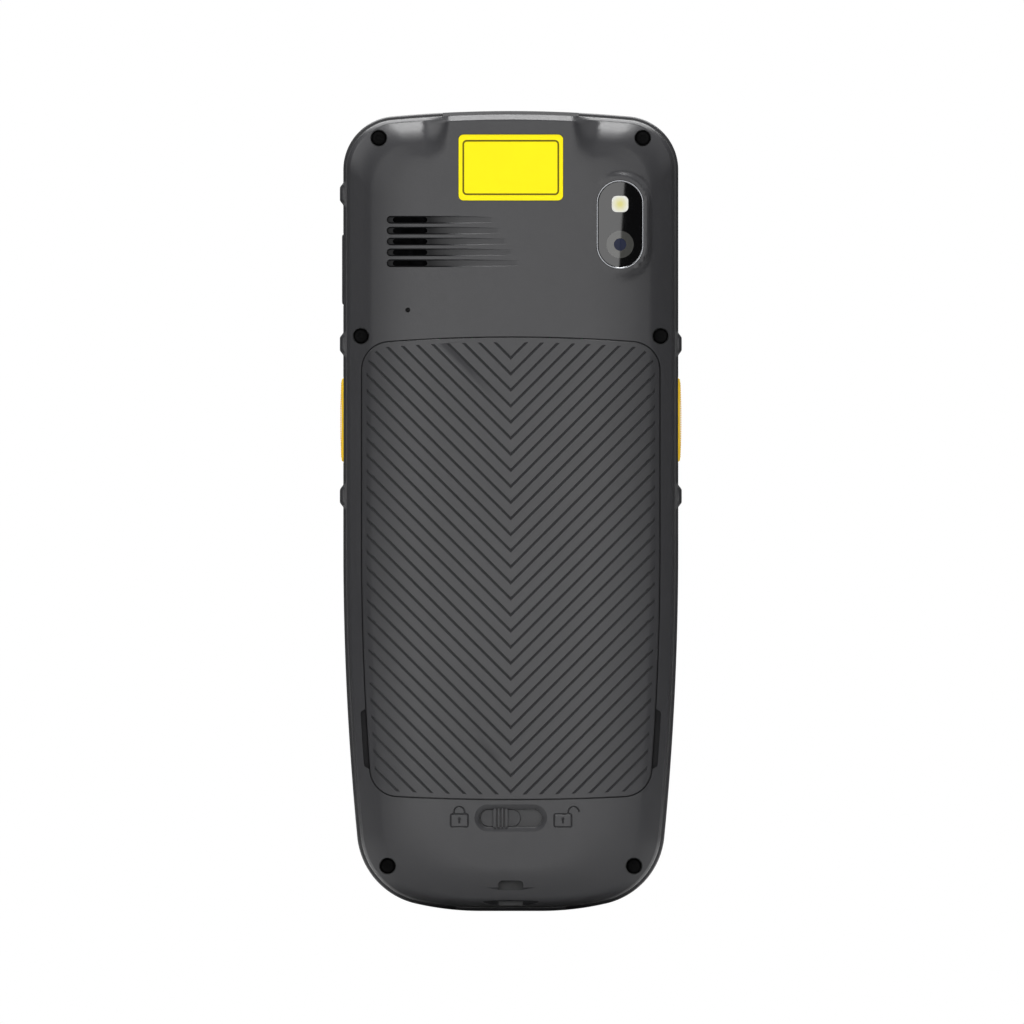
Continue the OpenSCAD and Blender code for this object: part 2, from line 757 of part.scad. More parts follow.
module rear_housing() color([0.33, 0.33, 0.34]) difference() {
    union() {
        difference() {
            union() {
                back_form(0, 4);
                brow();
                camera_island();
            }
            difference() {
                back_form(wall, 3);
                slab(back_y - over, part_y + 2 * over) cover_outline(-1.5);
            }
            back_form(cover_t + 1.4, 3);
            brow_form(wall);
        }
        intersection() {
            back_form(0, 4);
            rear_inside();
        }
    }
    // Seat of the battery cover and its seal
    difference() {
        slab(back_y - over, part_y) cover_outline(-cover_gap);
        back_form(cover_t + 0.15, 4);
    }
    difference() {
        slab(back_y - over, part_y) seal_2d(seal_w + 0.6);
        back_form(cover_t + seal_h + 0.2, 3);
    }
    // Battery bay, its contacts' opening and the window over the card holder
    slab(back_y - over, battery_y1) bay_2d(0.3);
    block([-contacts_w / 2 - fit, battery_y0 + 0.8, battery_z + battery_h],
        [contacts_w / 2 + fit, board_y0 + 0.01, battery_z + battery_h + contacts_gap + contacts_h + fit]);
    block([card_x0 - 2 * fit, battery_y1 - over, card_z0 - 2 * fit],
        [card_x1 + 2 * fit, board_y0 + over, card_z1 + 2 * fit]);
    // Windows for the cover's hooks and its lug
    both_sides() block([hook_x0 - 0.4, inner_back_y - 0.4, cover_z1 - hook_l - 1.3],
        [hook_x0 + hook_w + 0.4, inner_back_y + 2.4, cover_z1 + hook_reach + 0.7]);
    block([-lug_w / 2 - 0.4, inner_back_y - 0.4, lug_z0 - 0.6],
        [lug_w / 2 + 0.4, inner_back_y + 2.4, lug_z0 + lug_t + 0.6]);
    // Finger notches beside the cover
    both_sides() slab(back_y - over, back_y + 2.7)
        translate([half_w - cover_inset - 0.35, cover_z0 + notch_up]) stadium(1.5, notch_l);
    // Lock slot, its recess and the chamber behind it
    lock_recess();
    slab(back_y - over, slot_floor_y) translate([0, lock_z]) stadium(lock_slot_l, lock_slot_w);
    block([slide_x0 - flange_side - 0.6, slot_floor_y + slot_floor_t, lock_z - 2.8],
        [slide_x0 + slide_l + flange_side + lock_travel + 0.6, part_y, lock_z + 2.8]);
    block([neck_x - neck_w / 2 - slip, slot_floor_y - 0.01, lock_z - neck_h / 2 - slip],
        [neck_x + neck_w / 2 + lock_travel + slip, flange_y0, lock_z + neck_h / 2 + slip]);
    block([-keeper_w / 2 - 0.2, keeper_y0, keeper_z0 + 0.6], [keeper_w / 2 + 0.2, part_y, keeper_z1 + 0.1]);
    both_sides() slab(keeper_y0 - 1.8, part_y) translate([keeper_screw_x, lock_z]) circle(d = keeper_screw_d);
    // Strap channel: one slot above the bar, one below it, joined behind it
    block([-strap_w / 2, back_y - over, strap_bar_z + strap_bar_h],
        [strap_w / 2, back_y + strap_depth, strap_bar_z + strap_bar_h + 1.8]);
    block([-strap_w / 2, back_y - over, strap_bar_z - 0.9], [strap_w / 2, back_y + strap_depth, strap_bar_z]);
    block([-strap_w / 2, back_y + strap_depth - strap_t, strap_bar_z - 0.9],
        [strap_w / 2, back_y + strap_depth, strap_bar_z + strap_bar_h + 1.8]);
    strap_scoops();
    // Label pocket
    slab(back_y - over, back_y + 0.25) translate([0, label_z])
        rounded(label_w + 2 * fit, label_h + 2 * fit, 1);
    // Camera window pocket, lens and flash holes, and the camera's own pocket
    slab(back_y - over, camera_glass_y1) camera_2d(fit);
    slab(back_y, camera_seat_y + 0.01) {
        translate([camera_x, lens_z]) circle(d = 6.2);
        translate([camera_x, flash_z]) square(3.8, center = true);
    }
    slab(camera_seat_y, part_y) {
        translate([camera_x, lens_z]) square(8.8, center = true);
        translate([camera_x, flash_z]) square(4.7, center = true);
    }
    // Speaker slots and their grooves
    for (i = [0:speaker_slots - 1]) let (z = speaker_z + (i - (speaker_slots - 1) / 2) * speaker_pitch) {
        slab(back_y - over, speaker_seat_y + 0.01) translate([speaker_x0 + speaker_slot_l / 2, z])
            stadium(speaker_slot_l, speaker_slot_w);
        translate([0, 0, z]) speaker_groove(24 - i * 1.3);
    }
    slab(back_y - over, mic_seat_y + 0.01) translate(mic_spot) circle(d = 1);
    // Screw counterbores
    slab(back_y - over, head_seat_y) screw_places() circle(d = screw_bore_d);
    slab(back_y, part_y + over) screw_places() circle(d = screw_d + 0.3);
    // Scan aperture and window seat
    block([-window_w / 2 + 1.2, inner_back_y + 0.4, engine_z1], [window_w / 2 - 1.2, part_y - 1, body_h]);
    block([-window_w / 2 - fit, window_y0 - fit, body_h - window_t - fit],
        [window_w / 2 + fit, part_y + over, body_h + over]);
    // Groove for the housing seal
    slab(part_y - 0.6, part_y + over) difference() {
        polygon(outline(rear_step + 0.5));
        polygon(outline(rear_step + 1.3));
        translate([-window_w / 2 - 1.4, body_h - 5]) square([window_w + 2.8, 6]);
    }
}

// ---- Seal, screws and inserts ----

module housing_seal() color([0.1, 0.1, 0.1]) slab(part_y - 0.6, part_y) difference() {
    polygon(outline(rear_step + 0.5));
    polygon(outline(rear_step + 1.3));
    translate([-window_w / 2 - 1.4, body_h - 5]) square([window_w + 2.8, 6]);
}

module housing_screws() color([0.1, 0.1, 0.11]) difference() {
    union() {
        slab(head_seat_y - head_t, head_seat_y) screw_places() circle(d = screw_bore_d - 0.3);
        slab(head_seat_y, part_y + insert_l - 0.6) screw_places() circle(d = screw_d);
    }
    slab(head_seat_y - head_t - over, head_seat_y - head_t + 0.8) screw_places() circle(d = 1.5, $fn = 6);
}

module screw_inserts() color([0.75, 0.62, 0.3]) slab(part_y + 0.1, part_y + insert_l) screw_places()
    difference() {
        circle(d = insert_d);
        circle(d = screw_d);
    }

// ---- Display and keypad ----

module display_glass() color([0.05, 0.05, 0.06]) slab(glass_y0, glass_y1) translate([0, glass_z])
    rounded(glass_w, glass_h, glass_r - fit);

module display_panel() color([0.12, 0.13, 0.16]) slab(glass_y0 - panel_t, glass_y0) translate([0, glass_z])
    square([panel_w, panel_h], center = true);

module key_domes() {
    number_keys() circle(d = 4);
    for (x = [-1, 0, 1]) translate([x * (side_key_x + edge_key_w / 2), top_row_z]) circle(d = 4);
}

module keypad_mat() color([0.2, 0.2, 0.22]) {
    slab(keyboard_y1, mat_y1) translate([0, (keypad_z0 + keypad_z1) / 2])
        rounded(keypad_w - 0.4, keypad_z1 - keypad_z0 - 0.4, 1);
    slab(mat_y1 - 0.1, mat_y1 + dome_h) key_domes();
}

module keypad_board() color([0.1, 0.35, 0.2]) slab(keyboard_y0, keyboard_y1)
    translate([0, (keypad_z0 + keypad_z1) / 2]) rounded(keypad_w + 2.4, keypad_z1 - keypad_z0 + 1.2, 1);

// Key cap with the flange that holds it behind the face and the post that presses its dome
module key(w) {
    slab(flange_y1 - flange_t, flange_y1) rounded(w + 2 * key_flange, key_h + 2 * key_flange, 1);
    slab(flange_y1 - 0.1, key_y1 - 0.5) rounded(w, key_h, 1.2);
    slab(key_y1 - 0.6, key_y1) rounded(w - 0.8, key_h - 0.8, 0.9);
    slab(plunger_y0, flange_y1) circle(d = 3);
}

module number_key(col, row) translate([col * key_pitch_x, 0, keypad_z + row * key_pitch_z]) key(key_w);
module edge_key(side) translate([side * (side_key_x + edge_key_w / 2), 0, top_row_z]) key(edge_key_w);

key_grey = [0.22, 0.22, 0.23];
key_yellow = [0.95, 0.78, 0.05];
module key_menu() color(key_grey) edge_key(-1);
module key_scan() color(key_yellow) translate([0, 0, top_row_z]) key(scan_key_w);
module key_power() color([0.6, 0.12, 0.1]) edge_key(1);
module key_1() color(key_grey) number_key(-1, 3);
module key_2() color(key_grey) number_key(0, 3);
module key_3() color(key_grey) number_key(1, 3);
module key_4() color(key_grey) number_key(-1, 2);
module key_5() color(key_grey) number_key(0, 2);
module key_6() color(key_grey) number_key(1, 2);
module key_7() color(key_grey) number_key(-1, 1);
module key_8() color(key_grey) number_key(0, 1);
module key_9() color(key_grey) number_key(1, 1);
module key_clear() color(key_grey) number_key(-1, 0);
module key_0() color(key_grey) number_key(0, 0);
module key_enter() color(key_grey) number_key(1, 0);

// ---- Electronics ----

module main_board() color([0.08, 0.32, 0.18]) slab(board_y0, board_y1) {
    translate([-board_half, board_z0]) square([2 * board_half, board_z1 - board_z0]);
    translate([-tongue_w / 2, tongue_z0]) square([tongue_w, board_z0 - tongue_z0 + over]);
}

module shield_cans() color([0.75, 0.75, 0.77]) {
    can_x = board_half - can_edge;
    block([-can_x, board_y1, low_can[0]], [can_w - can_x, board_y1 + can_t, low_can[1]]);
    block([can_x - can_w, board_y1, side_can[0]], [can_x, board_y1 + can_t, side_can[1]]);
    block([-high_can_w / 2, board_y1, high_can[0]], [high_can_w / 2, board_y1 + can_t, high_can[1]]);
}

// Side switches: one under each trigger, and two under the volume key with its fulcrum between them
module side_switch(z) block([board_half - 1, board_y1, z - switch_l / 2],
    [switch_x1, board_y1 + switch_t, z + switch_l / 2]);

module fulcrum() difference() {
    block([board_half - 1, board_y1, volume_z - 1.6], [rock_x - 0.2, board_y1 + switch_t, volume_z + 1.6]);
    translate([rock_x, 0, volume_z]) rotate([-90, 0, 0]) cylinder(r = rock_r + fit, h = front_y);
}

module side_switches() color([0.7, 0.7, 0.72]) {
    both_sides() side_switch(trigger_z);
    mirror([1, 0, 0]) {
        for (s = [-1, 1]) side_switch(volume_z + s * volume_switch_z);
        fulcrum();
    }
}

module vibration_motor() color([0.8, 0.8, 0.82]) slab(board_y1, board_y1 + motor_t)
    translate([motor_x, motor_z]) circle(d = motor_d);

module usb_port() color([0.78, 0.78, 0.8]) translate([0, usb_y, usb_z0]) difference() {
    linear_extrude(usb_l) stadium(usb_w, usb_h);
    translate([0, 0, -over]) linear_extrude(usb_l - 1.4 + over) difference() {
        stadium(usb_w - 2 * usb_shell_t, usb_h - 2 * usb_shell_t);
        square(usb_tongue, center = true);
    }
}

module earpiece() color([0.2, 0.2, 0.2]) slab(key_wall_y - 2.3, key_wall_y - 0.3)
    translate([0, earpiece_z]) rounded(12, 3, 1);

module earpiece_mesh() color([0.3, 0.3, 0.3]) slab(key_wall_y - 0.3, key_wall_y)
    translate([0, earpiece_z]) rounded(10.4, 2.2, 1);

// ---- Scan engine ----

module scan_engine() color([0.15, 0.15, 0.16]) {
    difference() {
        block([-engine_w / 2, inner_back_y + 0.3, engine_z0],
            [engine_w / 2, part_y + engine_front, engine_z1]);
        // Recessed eyes of the imager and its aimer
        translate([eye_x, eye_y, engine_z1 - 1.2]) cylinder(d = eye_d + 1.8, h = 2);
        translate([aimer_x, eye_y, engine_z1 - 1.2]) cylinder(d = aimer_d + 1.6, h = 2);
    }
    translate([eye_x, eye_y, engine_z1 - 1.5]) cylinder(d = eye_d, h = 1);
    translate([aimer_x, eye_y, engine_z1 - 1.5]) cylinder(d = aimer_d, h = 1);
}

module scan_window() color([0.2, 0.2, 0.21]) slab(window_y0, part_y) intersection() {
    polygon(outline(0));
    translate([-window_w / 2, body_h - window_t]) square([window_w, window_t]);
}

// ---- Camera, speaker, microphone, label ----

module camera_trim() color([0.75, 0.76, 0.78]) slab(back_y + 0.05, camera_glass_y1) difference() {
    camera_2d(0);
    camera_2d(-0.7);
}

module camera_window() color([0.02, 0.02, 0.03]) slab(back_y + 0.15, camera_glass_y1) camera_2d(-0.7);

module camera_module() color([0.1, 0.1, 0.12]) {
    slab(camera_glass_y1, camera_seat_y + 0.1) translate([camera_x, lens_z]) circle(d = 5.8);
    slab(camera_seat_y, camera_seat_y + 4.6) translate([camera_x, lens_z]) square(8.6, center = true);
}

module flash_led() color([0.95, 0.93, 0.8]) {
    slab(camera_glass_y1, camera_seat_y + 0.1) translate([camera_x, flash_z]) rounded(3.4, 3.4, 0.8);
    slab(camera_seat_y, camera_seat_y + 0.8) translate([camera_x, flash_z]) square(4.5, center = true);
}

module loudspeaker() color([0.12, 0.12, 0.12])
    slab(speaker_seat_y + mesh_t, speaker_seat_y + mesh_t + speaker_t)
    translate([speaker_x, speaker_z]) rounded(speaker_w, speaker_h, 1.5);

module speaker_mesh() color([0.05, 0.05, 0.05]) slab(speaker_seat_y, speaker_seat_y + mesh_t)
    translate([speaker_x, speaker_z]) rounded(speaker_w - 1.6, speaker_h - 0.4, 1);

module rear_microphone() color([0.8, 0.78, 0.6]) difference() {
    block([mic_spot.x - mic_w / 2, mic_seat_y, mic_spot.y - mic_h / 2],
        [mic_spot.x + mic_w / 2, mic_seat_y + mic_t, mic_spot.y + mic_h / 2]);
    slab(mic_seat_y - over, mic_seat_y + 0.5) translate(mic_spot) circle(d = 0.8);
}

module rear_label() color([0.98, 0.93, 0.1]) slab(back_y + 0.05, back_y + 0.25) translate([0, label_z])
    rounded(label_w, label_h, 1);

// ---- Battery ----

module battery_pack() color([0.16, 0.17, 0.19]) difference() {
    slab(battery_y0, battery_y1) translate([0, battery_z + battery_h / 2]) rounded(battery_w, battery_h, 1.2);
    // Recess of the terminals
    block([1 - contacts_w / 2, battery_y0 + 1.2, battery_z + battery_h - 1],
        [contacts_w / 2 - 1, battery_y1 - 1, battery_z + battery_h + over]);
}

module battery_pull_tab() color([0.9, 0.9, 0.88]) slab(battery_y0 - pull_tab_t, battery_y0)
    translate([0, battery_z + 1 + pull_tab_h / 2]) rounded(pull_tab_w, pull_tab_h, 2);

module battery_contacts() color([0.8, 0.68, 0.35]) {
    block([-contacts_w / 2, battery_y0 + 0.9, battery_z + battery_h + contacts_gap],
        [contacts_w / 2, board_y0, battery_z + battery_h + contacts_gap + contacts_h]);
    for (i = [-1.5:1.5])
        translate([i * contact_pitch, (battery_y0 + battery_y1) / 2, battery_z + battery_h - contact_reach])
            cylinder(d = contact_d, h = contact_reach + contacts_gap + 0.2);
}

// Holder for two small cards, open towards the battery
module card_holder() color([0.8, 0.8, 0.82]) difference() {
    block([card_x0, battery_y1 + 0.05, card_z0], [card_x1, board_y0, card_z1]);
    for (i = [0, 1]) let (x = card_x0 + card_rim + i * (card_w + 2 * card_rim))
        block([x, battery_y1 - over, card_z0 + card_rim],
            [x + card_w, battery_y1 + 0.45, card_z1 - card_rim]);
}

// ---- Lock ----

module lock_keeper() color([0.6, 0.6, 0.62]) difference() {
    union() {
        block([-keeper_w / 2, keeper_y0, keeper_z0], [keeper_w / 2, keeper_y1, keeper_z1]);
        both_sides() slab(keeper_y0, keeper_y1) {
            translate([keeper_screw_x, lock_z]) circle(d = ear_d);
            translate([keeper_w / 2 - 1, lock_z - ear_d / 2])
                square([keeper_screw_x - keeper_w / 2 + 1, ear_d]);
        }
        // Post that grips the catch spring
        block([-keeper_w / 2, keeper_y1 - 0.1, keeper_z1 - 1.3],
            [-keeper_w / 2 + 1.8, keeper_y1 + 2.3, keeper_z1 + 1.3]);
    }
    block([knob_x - foot_w0 / 2 - 0.3, keeper_y0 - over, lock_z - 0.2],
        [knob_x + foot_w0 / 2 + lock_travel + 0.3, keeper_y1 + over, lock_z + 2.8]);
    block([-keeper_w / 2 + 0.2, keeper_y1 + 0.4, catch_z],
        [-keeper_w / 2 + 2.8, keeper_y1 + 2.3 + over, catch_z + catch_t]);
    both_sides() slab(keeper_y0 - over, keeper_y1 + over) translate([keeper_screw_x, lock_z])
        circle(d = keeper_screw_d);
}

module lock_screws() color([0.5, 0.5, 0.52]) both_sides() {
    slab(keeper_y0 - 1.6, keeper_y1 + 0.1) translate([keeper_screw_x, lock_z]) circle(d = keeper_screw_d);
    slab(keeper_y1, keeper_y1 + 0.7) translate([keeper_screw_x, lock_z]) difference() {
        circle(d = keeper_head_d);
        square([0.4, keeper_head_d / 1.5], center = true);
        square([keeper_head_d / 1.5, 0.4], center = true);
    }
}

// Leaf that hooks the cover's lug; the lock slide's foot keeps it from bending
module catch_spring() color([0.8, 0.8, 0.82]) {
    block([-keeper_w / 2 + 0.2, keeper_y1 + 0.4, catch_z],
        [knob_x + foot_w0 / 2 + 0.5, keeper_y1 + 2, catch_z + catch_t]);
    slab(keeper_y1 + 0.5, keeper_y1 + 1) translate([knob_x, catch_z + catch_t - 0.05])
        polygon([[-1.1, 0], [-0.7, 0.4], [0.7, 0.4], [1.1, 0]]);
}

module lock_slide() color([0.2, 0.2, 0.21]) difference() {
    union() {
        slab(back_y + 0.8, slot_floor_y - 0.05) translate([slide_x0 + slide_l / 2, lock_z])
            stadium(slide_l, lock_slot_w - 0.2);
        // Neck through the slot's floor, and the flange behind it
        block([neck_x - neck_w / 2, slot_floor_y - 0.1, lock_z - neck_h / 2],
            [neck_x + neck_w / 2, flange_y0 + 0.1, lock_z + neck_h / 2]);
        slab(flange_y0, flange_y0 + 0.55) translate([slide_x0 + slide_l / 2, lock_z])
            rounded(slide_l + 2 * flange_side, lock_slot_w + 1.6, 1.4);
        slab(back_y + 0.3, back_y + 0.9) translate([knob_x, lock_z])
            rounded(knob_w, lock_slot_w - 0.1, 0.4);
        slab(back_y + 0.05, back_y + 0.4) translate([knob_x, lock_z]) rounded(knob_w, knob_h, 0.4);
        // Foot that stands beside the catch spring when the lock is shut
        block([knob_x - foot_w0 / 2, flange_y0 + 0.5, lock_z + 0.4],
            [knob_x + foot_w0 / 2, keeper_y1 + 1.4, lock_z + 2.2]);
        block([knob_x - foot_w0 / 2, keeper_y1 + 0.2, lock_z + 0.4],
            [knob_x + foot_w0 / 2, keeper_y1 + 1.4, catch_z - 0.25]);
    }
    for (i = [-1:1]) translate([knob_x + i * knob_w / 4, back_y, lock_z])
        cube([0.3, 0.5, knob_h + 1], center = true);
}

// ---- Battery cover ----

// Chevron grooves over the whole cover, kept off its border
module groove_2d() {
    arm = body_w / 2;
    intersection() {
        cover_outline(groove_border);
        for (k = [0:ceil((cover_z1 - cover_z0 + arm) / groove_pitch)])
            translate([0, cover_z1 - groove_start - k * groove_pitch])
                polygon([[0, 0], [arm, arm], [arm, arm + groove_w * sqrt(2)], [0, groove_w * sqrt(2)],
                    [-arm, arm + groove_w * sqrt(2)], [-arm, arm]]);
    }
}

module battery_cover() color([0.33, 0.33, 0.34]) {
    difference() {
        intersection() {
            back_form(0, 4);
            slab(back_y, part_y) cover_outline(0);
        }
        back_form(cover_t, 4);
        difference() {
            slab(back_y - over, part_y) groove_2d();
            back_form(groove_depth, 4);
        }
    }
    // Two hooks behind the rear housing's edge, with noses rounded about the line that the cover tilts on
    both_sides() {
        intersection() {
            block([hook_x0, inner_back_y + 0.1, cover_z1 - 1],
                [hook_x0 + hook_w, part_y, cover_z1 + hook_reach]);
            translate([hook_x0 - over, back_y, cover_z1 + tilt_up]) rotate([0, 90, 0])
                cylinder(r = hook_r, h = hook_w + 2 * over);
        }
        block([hook_x0, inner_back_y + 0.1, cover_z1 - hook_l],
            [hook_x0 + hook_w, inner_back_y + 1.1, cover_z1 - 0.9]);
        block([hook_x0, back_y + cover_t - 0.2, cover_z1 - hook_l],
            [hook_x0 + hook_w, inner_back_y + 0.3, cover_z1 - 1]);
    }
    // Lug with the rib that the catch spring hooks
    block([-lug_w / 2, back_y + cover_t - 0.2, lug_z0], [lug_w / 2, lug_y1, lug_z0 + lug_t]);
    block([knob_x - 1.1, lug_y1 - 0.9, lug_z0 - 0.45], [knob_x + 1.1, lug_y1 - 0.2, lug_z0 + 0.2]);
}

module cover_seal() color([0.85, 0.2, 0.15]) intersection() {
    difference() {
        back_form(cover_t, 4);
        back_form(cover_t + seal_h, 3);
    }
    slab(back_y, part_y) seal_2d(seal_w);
}

// ---- Side keys ----

// Key cap with a gently crowned face and the flange that holds it behind the wall
module side_key(z, l, proud, sink = 0) {
    crown_r = 160;
    slab(side_key_y0, side_key_y1) translate([0, z]) {
        intersection() {
            translate([half_w + proud - crown_r, 0]) circle(crown_r, $fn = 360);
            translate([flange_x1 - sink - 0.1, -l / 2]) square([6, l]);
        }
        translate([flange_x1 - sink - side_flange_t, -l / 2 - side_flange_l])
            square([side_flange_t, l + 2 * side_flange_l]);
    }
}

module trigger_right() color(key_yellow) side_key(trigger_z, trigger_l, trigger_proud);
module trigger_left() color(key_yellow) mirror([1, 0, 0]) side_key(trigger_z, trigger_l, trigger_proud);
module volume_key() color([0.16, 0.16, 0.17]) mirror([1, 0, 0]) {
    side_key(volume_z, volume_l, volume_proud, rock_room);
    // Round rib that the key rocks on
    slab(side_key_y0, side_key_y1) translate([rock_x, volume_z]) circle(r = rock_r);
}

front_housing();
rear_housing();
housing_seal();
housing_screws();
screw_inserts();
display_glass();
display_panel();
keypad_mat();
keypad_board();
main_board();
shield_cans();
side_switches();
vibration_motor();
usb_port();
earpiece();
earpiece_mesh();
scan_engine();
scan_window();
camera_trim();
camera_window();
camera_module();
flash_led();
loudspeaker();
speaker_mesh();
rear_microphone();
rear_label();
battery_pack();
battery_pull_tab();
battery_contacts();
card_holder();
lock_keeper();
lock_screws();
catch_spring();
battery_cover();
cover_seal();
lock_slide();
trigger_left();
trigger_right();
volume_key();
key_menu();
key_scan();
key_power();
key_1();
key_2();
key_3();
key_4();
key_5();
key_6();
key_7();
key_8();
key_9();
key_clear();
key_0();
key_enter();
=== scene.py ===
"""Portable barcode data terminal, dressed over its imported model.

Shapes are drawn in millimetres in the model's own frame and scaled to metres when they are done.
"""
import math

import bmesh
import bpy
from bpy.props import FloatProperty, FloatVectorProperty, IntProperty, PointerProperty
from mathutils import Matrix, Vector
from mathutils.bvhtree import BVHTree


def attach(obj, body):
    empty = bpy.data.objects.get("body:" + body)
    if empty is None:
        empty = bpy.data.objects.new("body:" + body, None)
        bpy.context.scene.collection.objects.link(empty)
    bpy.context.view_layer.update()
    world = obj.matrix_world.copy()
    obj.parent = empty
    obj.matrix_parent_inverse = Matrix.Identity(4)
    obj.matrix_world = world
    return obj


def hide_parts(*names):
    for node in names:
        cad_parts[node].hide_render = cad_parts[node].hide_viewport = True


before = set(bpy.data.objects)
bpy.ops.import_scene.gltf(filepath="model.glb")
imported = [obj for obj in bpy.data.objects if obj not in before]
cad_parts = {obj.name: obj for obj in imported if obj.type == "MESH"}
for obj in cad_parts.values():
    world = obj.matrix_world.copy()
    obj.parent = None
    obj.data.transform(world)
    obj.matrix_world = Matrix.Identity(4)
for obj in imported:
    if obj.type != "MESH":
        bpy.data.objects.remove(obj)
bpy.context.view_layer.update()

bl_info = {
    "name": "Data Terminal",
    "version": (1, 0, 0),
    "blender": (4, 5, 0),
    "location": "3D View > Sidebar > Terminal",
    "description": "Builds the visible pieces of a portable barcode data terminal over its packed model",
    "category": "Object",
}

MM = 0.001

# Body, in millimetres. Y runs from the back to the display, and Z from the foot to the top end
HALF_W = 33.5
BODY_H = 160.0
BACK_Y = -9.0
FRONT_Y = 9.0
PART_Y = 1.0
FACE_Y = 8.2
KEY_WALL_Y = 7.0
BOARD_Y0 = 0.4
BATTERY_Y1 = -0.6
WALL = 1.8
REAR_STEP = 0.7
WIDEST_Z = 72.3

# Section of the back: upright flank, sloping facet, then the crown
FLANK_H = 4.2
FACET_T, FACET_DEPTH = 0.6, 5.6
FACET_RISE, FACET_RUN = 2.5, 2.6
CROWN_T, CROWN_W, CROWN_DROP, CROWN_DEPTH = 3.2, 14, 1.9, 10
CROWN_END = 17.2
CROWN_BLEND = 1.4

# Share of that slope at the top end, which fades in past TOP_FULL, and at the foot
TOP_SHARE, TOP_FULL, TOP_FADE = 0.4, 3.0, 5.0
FOOT_SHARE, FOOT_RUN, BOTTOM_SHARE = 0.34, 3.2, 0.5

# Brow at the top end and island round the camera, as the places where they are full and where they end
BROW_FLAT, BROW_FOOT, BROW_CHAMFER = 12.2, 17.8, 1.0
ISLAND_FLAT, ISLAND_FOOT = 0.75, 1.9

# Arcs of the outline
FOOT_C = Vector((6.0, 58.0))
FOOT_R = 58.0
CORNER_R = 15.1
FLANK_C = Vector((HALF_W - 595.0, WIDEST_Z))
FLANK_R = 595.0
TOP_C = Vector((0.0, BODY_H - 260.0))
TOP_R = 260.0
SHOULDER_R = 10.7

# Battery cover, its grooves, its two hooks and the bay under it
COVER_INSET = 3.75
COVER_Z0 = 22.36
COVER_Z1 = 114.7
COVER_TOP_R = 324.0
COVER_BOTTOM_R = 432.0
COVER_CORNER_R = 5.6
COVER_T = 1.6
COVER_GAP = 0.15
GROOVE_START = 4.1
GROOVE_OVER = 0.12
HOOK_X = (8.0, 14.0)
BAY_Z, BAY_W, BAY_H = 67, 49.6, 66.6
NOTCH_Z = (28.45, 40.35)

# Display and keypad
GLASS_W, GLASS_H, GLASS_Z, GLASS_R = 59.0, 96.0, 105.0, 3.0
GLASS_Y0, GLASS_Y1 = 7.2, 8.4
KEY_W, KEY_H = 15.2, 6.9
KEY_PITCH_X, KEY_PITCH_Z = 17.6, 8.6
KEYPAD_Z = 16.6
TOP_ROW_Z = KEYPAD_Z + 3 * KEY_PITCH_Z + KEY_H + 1.6
SCAN_KEY_W = 19.0
SIDE_KEY_X = SCAN_KEY_W / 2 + 1.6
EDGE_KEY_W = KEY_PITCH_X + KEY_W / 2 - SIDE_KEY_X
EDGE_KEY_X = SIDE_KEY_X + EDGE_KEY_W / 2
KEY_Y1 = 8.9

# Places on the back and the sides
SCREWS = [(26.4, 154.6), (29.95, 115.0), (24.64, 9.0)]
SCREW_HEAD_Y = -2.2
LABEL = (20.9, 13.2, 148.7)
LABEL_LINE = (19.0, 10.7, 0.36)
CAMERA = (21.85, 137.3)
CAMERA_SIZE = (9.4, 17.8)
LENS_Z, FLASH_Z = 133.3, 141.4
SPEAKER_X0, SPEAKER_Z, SPEAKER_PITCH = -23.6, 133.9, 2.17
SPEAKER_L, SPEAKER_H = 6.9, 1.06
MIC = (-20.6, 120.2)
PADLOCKS = ((-10.3, False), (10.42, True))
PADLOCK_Z = 18.1
LOCK_Z, SLOT_L, SLOT_W = 18.6, 12.7, 3.6
SLIDE_X0, SLIDE_L = -6.05, 8.0
KNOB_X = SLIDE_X0 + SLIDE_L / 2
SLOT_FLOOR_Y = -7.3
NECK_X, NECK_W, NECK_H, LOCK_TRAVEL = -4.15, 1.4, 1.6, 4.3
KEEPER_Y, KEEPER_SCREW_X = -6.0, 11.2
STRAP_W, STRAP_BAR_Z, STRAP_BAR_H = 5.0, 2.0, 2.3
TRIGGER_Z, TRIGGER_L, TRIGGER_PROUD = 98.2, 16.8, 0.55
VOLUME_Z, VOLUME_L, VOLUME_PROUD, ROCK_ROOM = 128.3, 14.2, 0.38, 0.35
SIDE_KEY_Y = (1.75, 6.05)
SIDE_KEY_CROWN = 320
GUARD_Z, VOLUME_GUARD_Z = (83.0, 113.4), 143.4
USB_Y, USB_W, USB_H = 3.0, 8.9, 3.2
SLIP = 0.15

# How close to the back's skin a point lies, and how alike its normal is, to take the skin's shading
SKIN_REACH, SKIN_AGREES = 0.004, 0.93

# Fine grain of moulded plastic: noise scale and height in metres
GRAIN_SCALE, GRAIN_H = 2600.0, 0.00003


# ---- Outline and the crowned back ----

def corner_centre():
    """Centre of the bottom corner's arc, which touches the foot's arc and the flank's arc."""
    reach_foot, reach_flank = FOOT_R - CORNER_R, FLANK_R - CORNER_R
    link = (FLANK_C - FOOT_C).length
    along_dir = (FLANK_C - FOOT_C) / link
    along = (reach_foot ** 2 - reach_flank ** 2 + link ** 2) / (2 * link)
    across = math.sqrt(reach_foot ** 2 - along ** 2)
    return FOOT_C + along_dir * along + across * Vector((-along_dir.y, along_dir.x))


CORNER_C = corner_centre()
SHOULDER_X = HALF_W - SHOULDER_R
SHOULDER_C = Vector((SHOULDER_X,
                     TOP_C.y + math.sqrt((TOP_R - SHOULDER_R) ** 2 - SHOULDER_X ** 2)))


def angle_of(v):
    """Direction of a 2D vector, in radians."""
    return math.atan2(v.y, v.x)


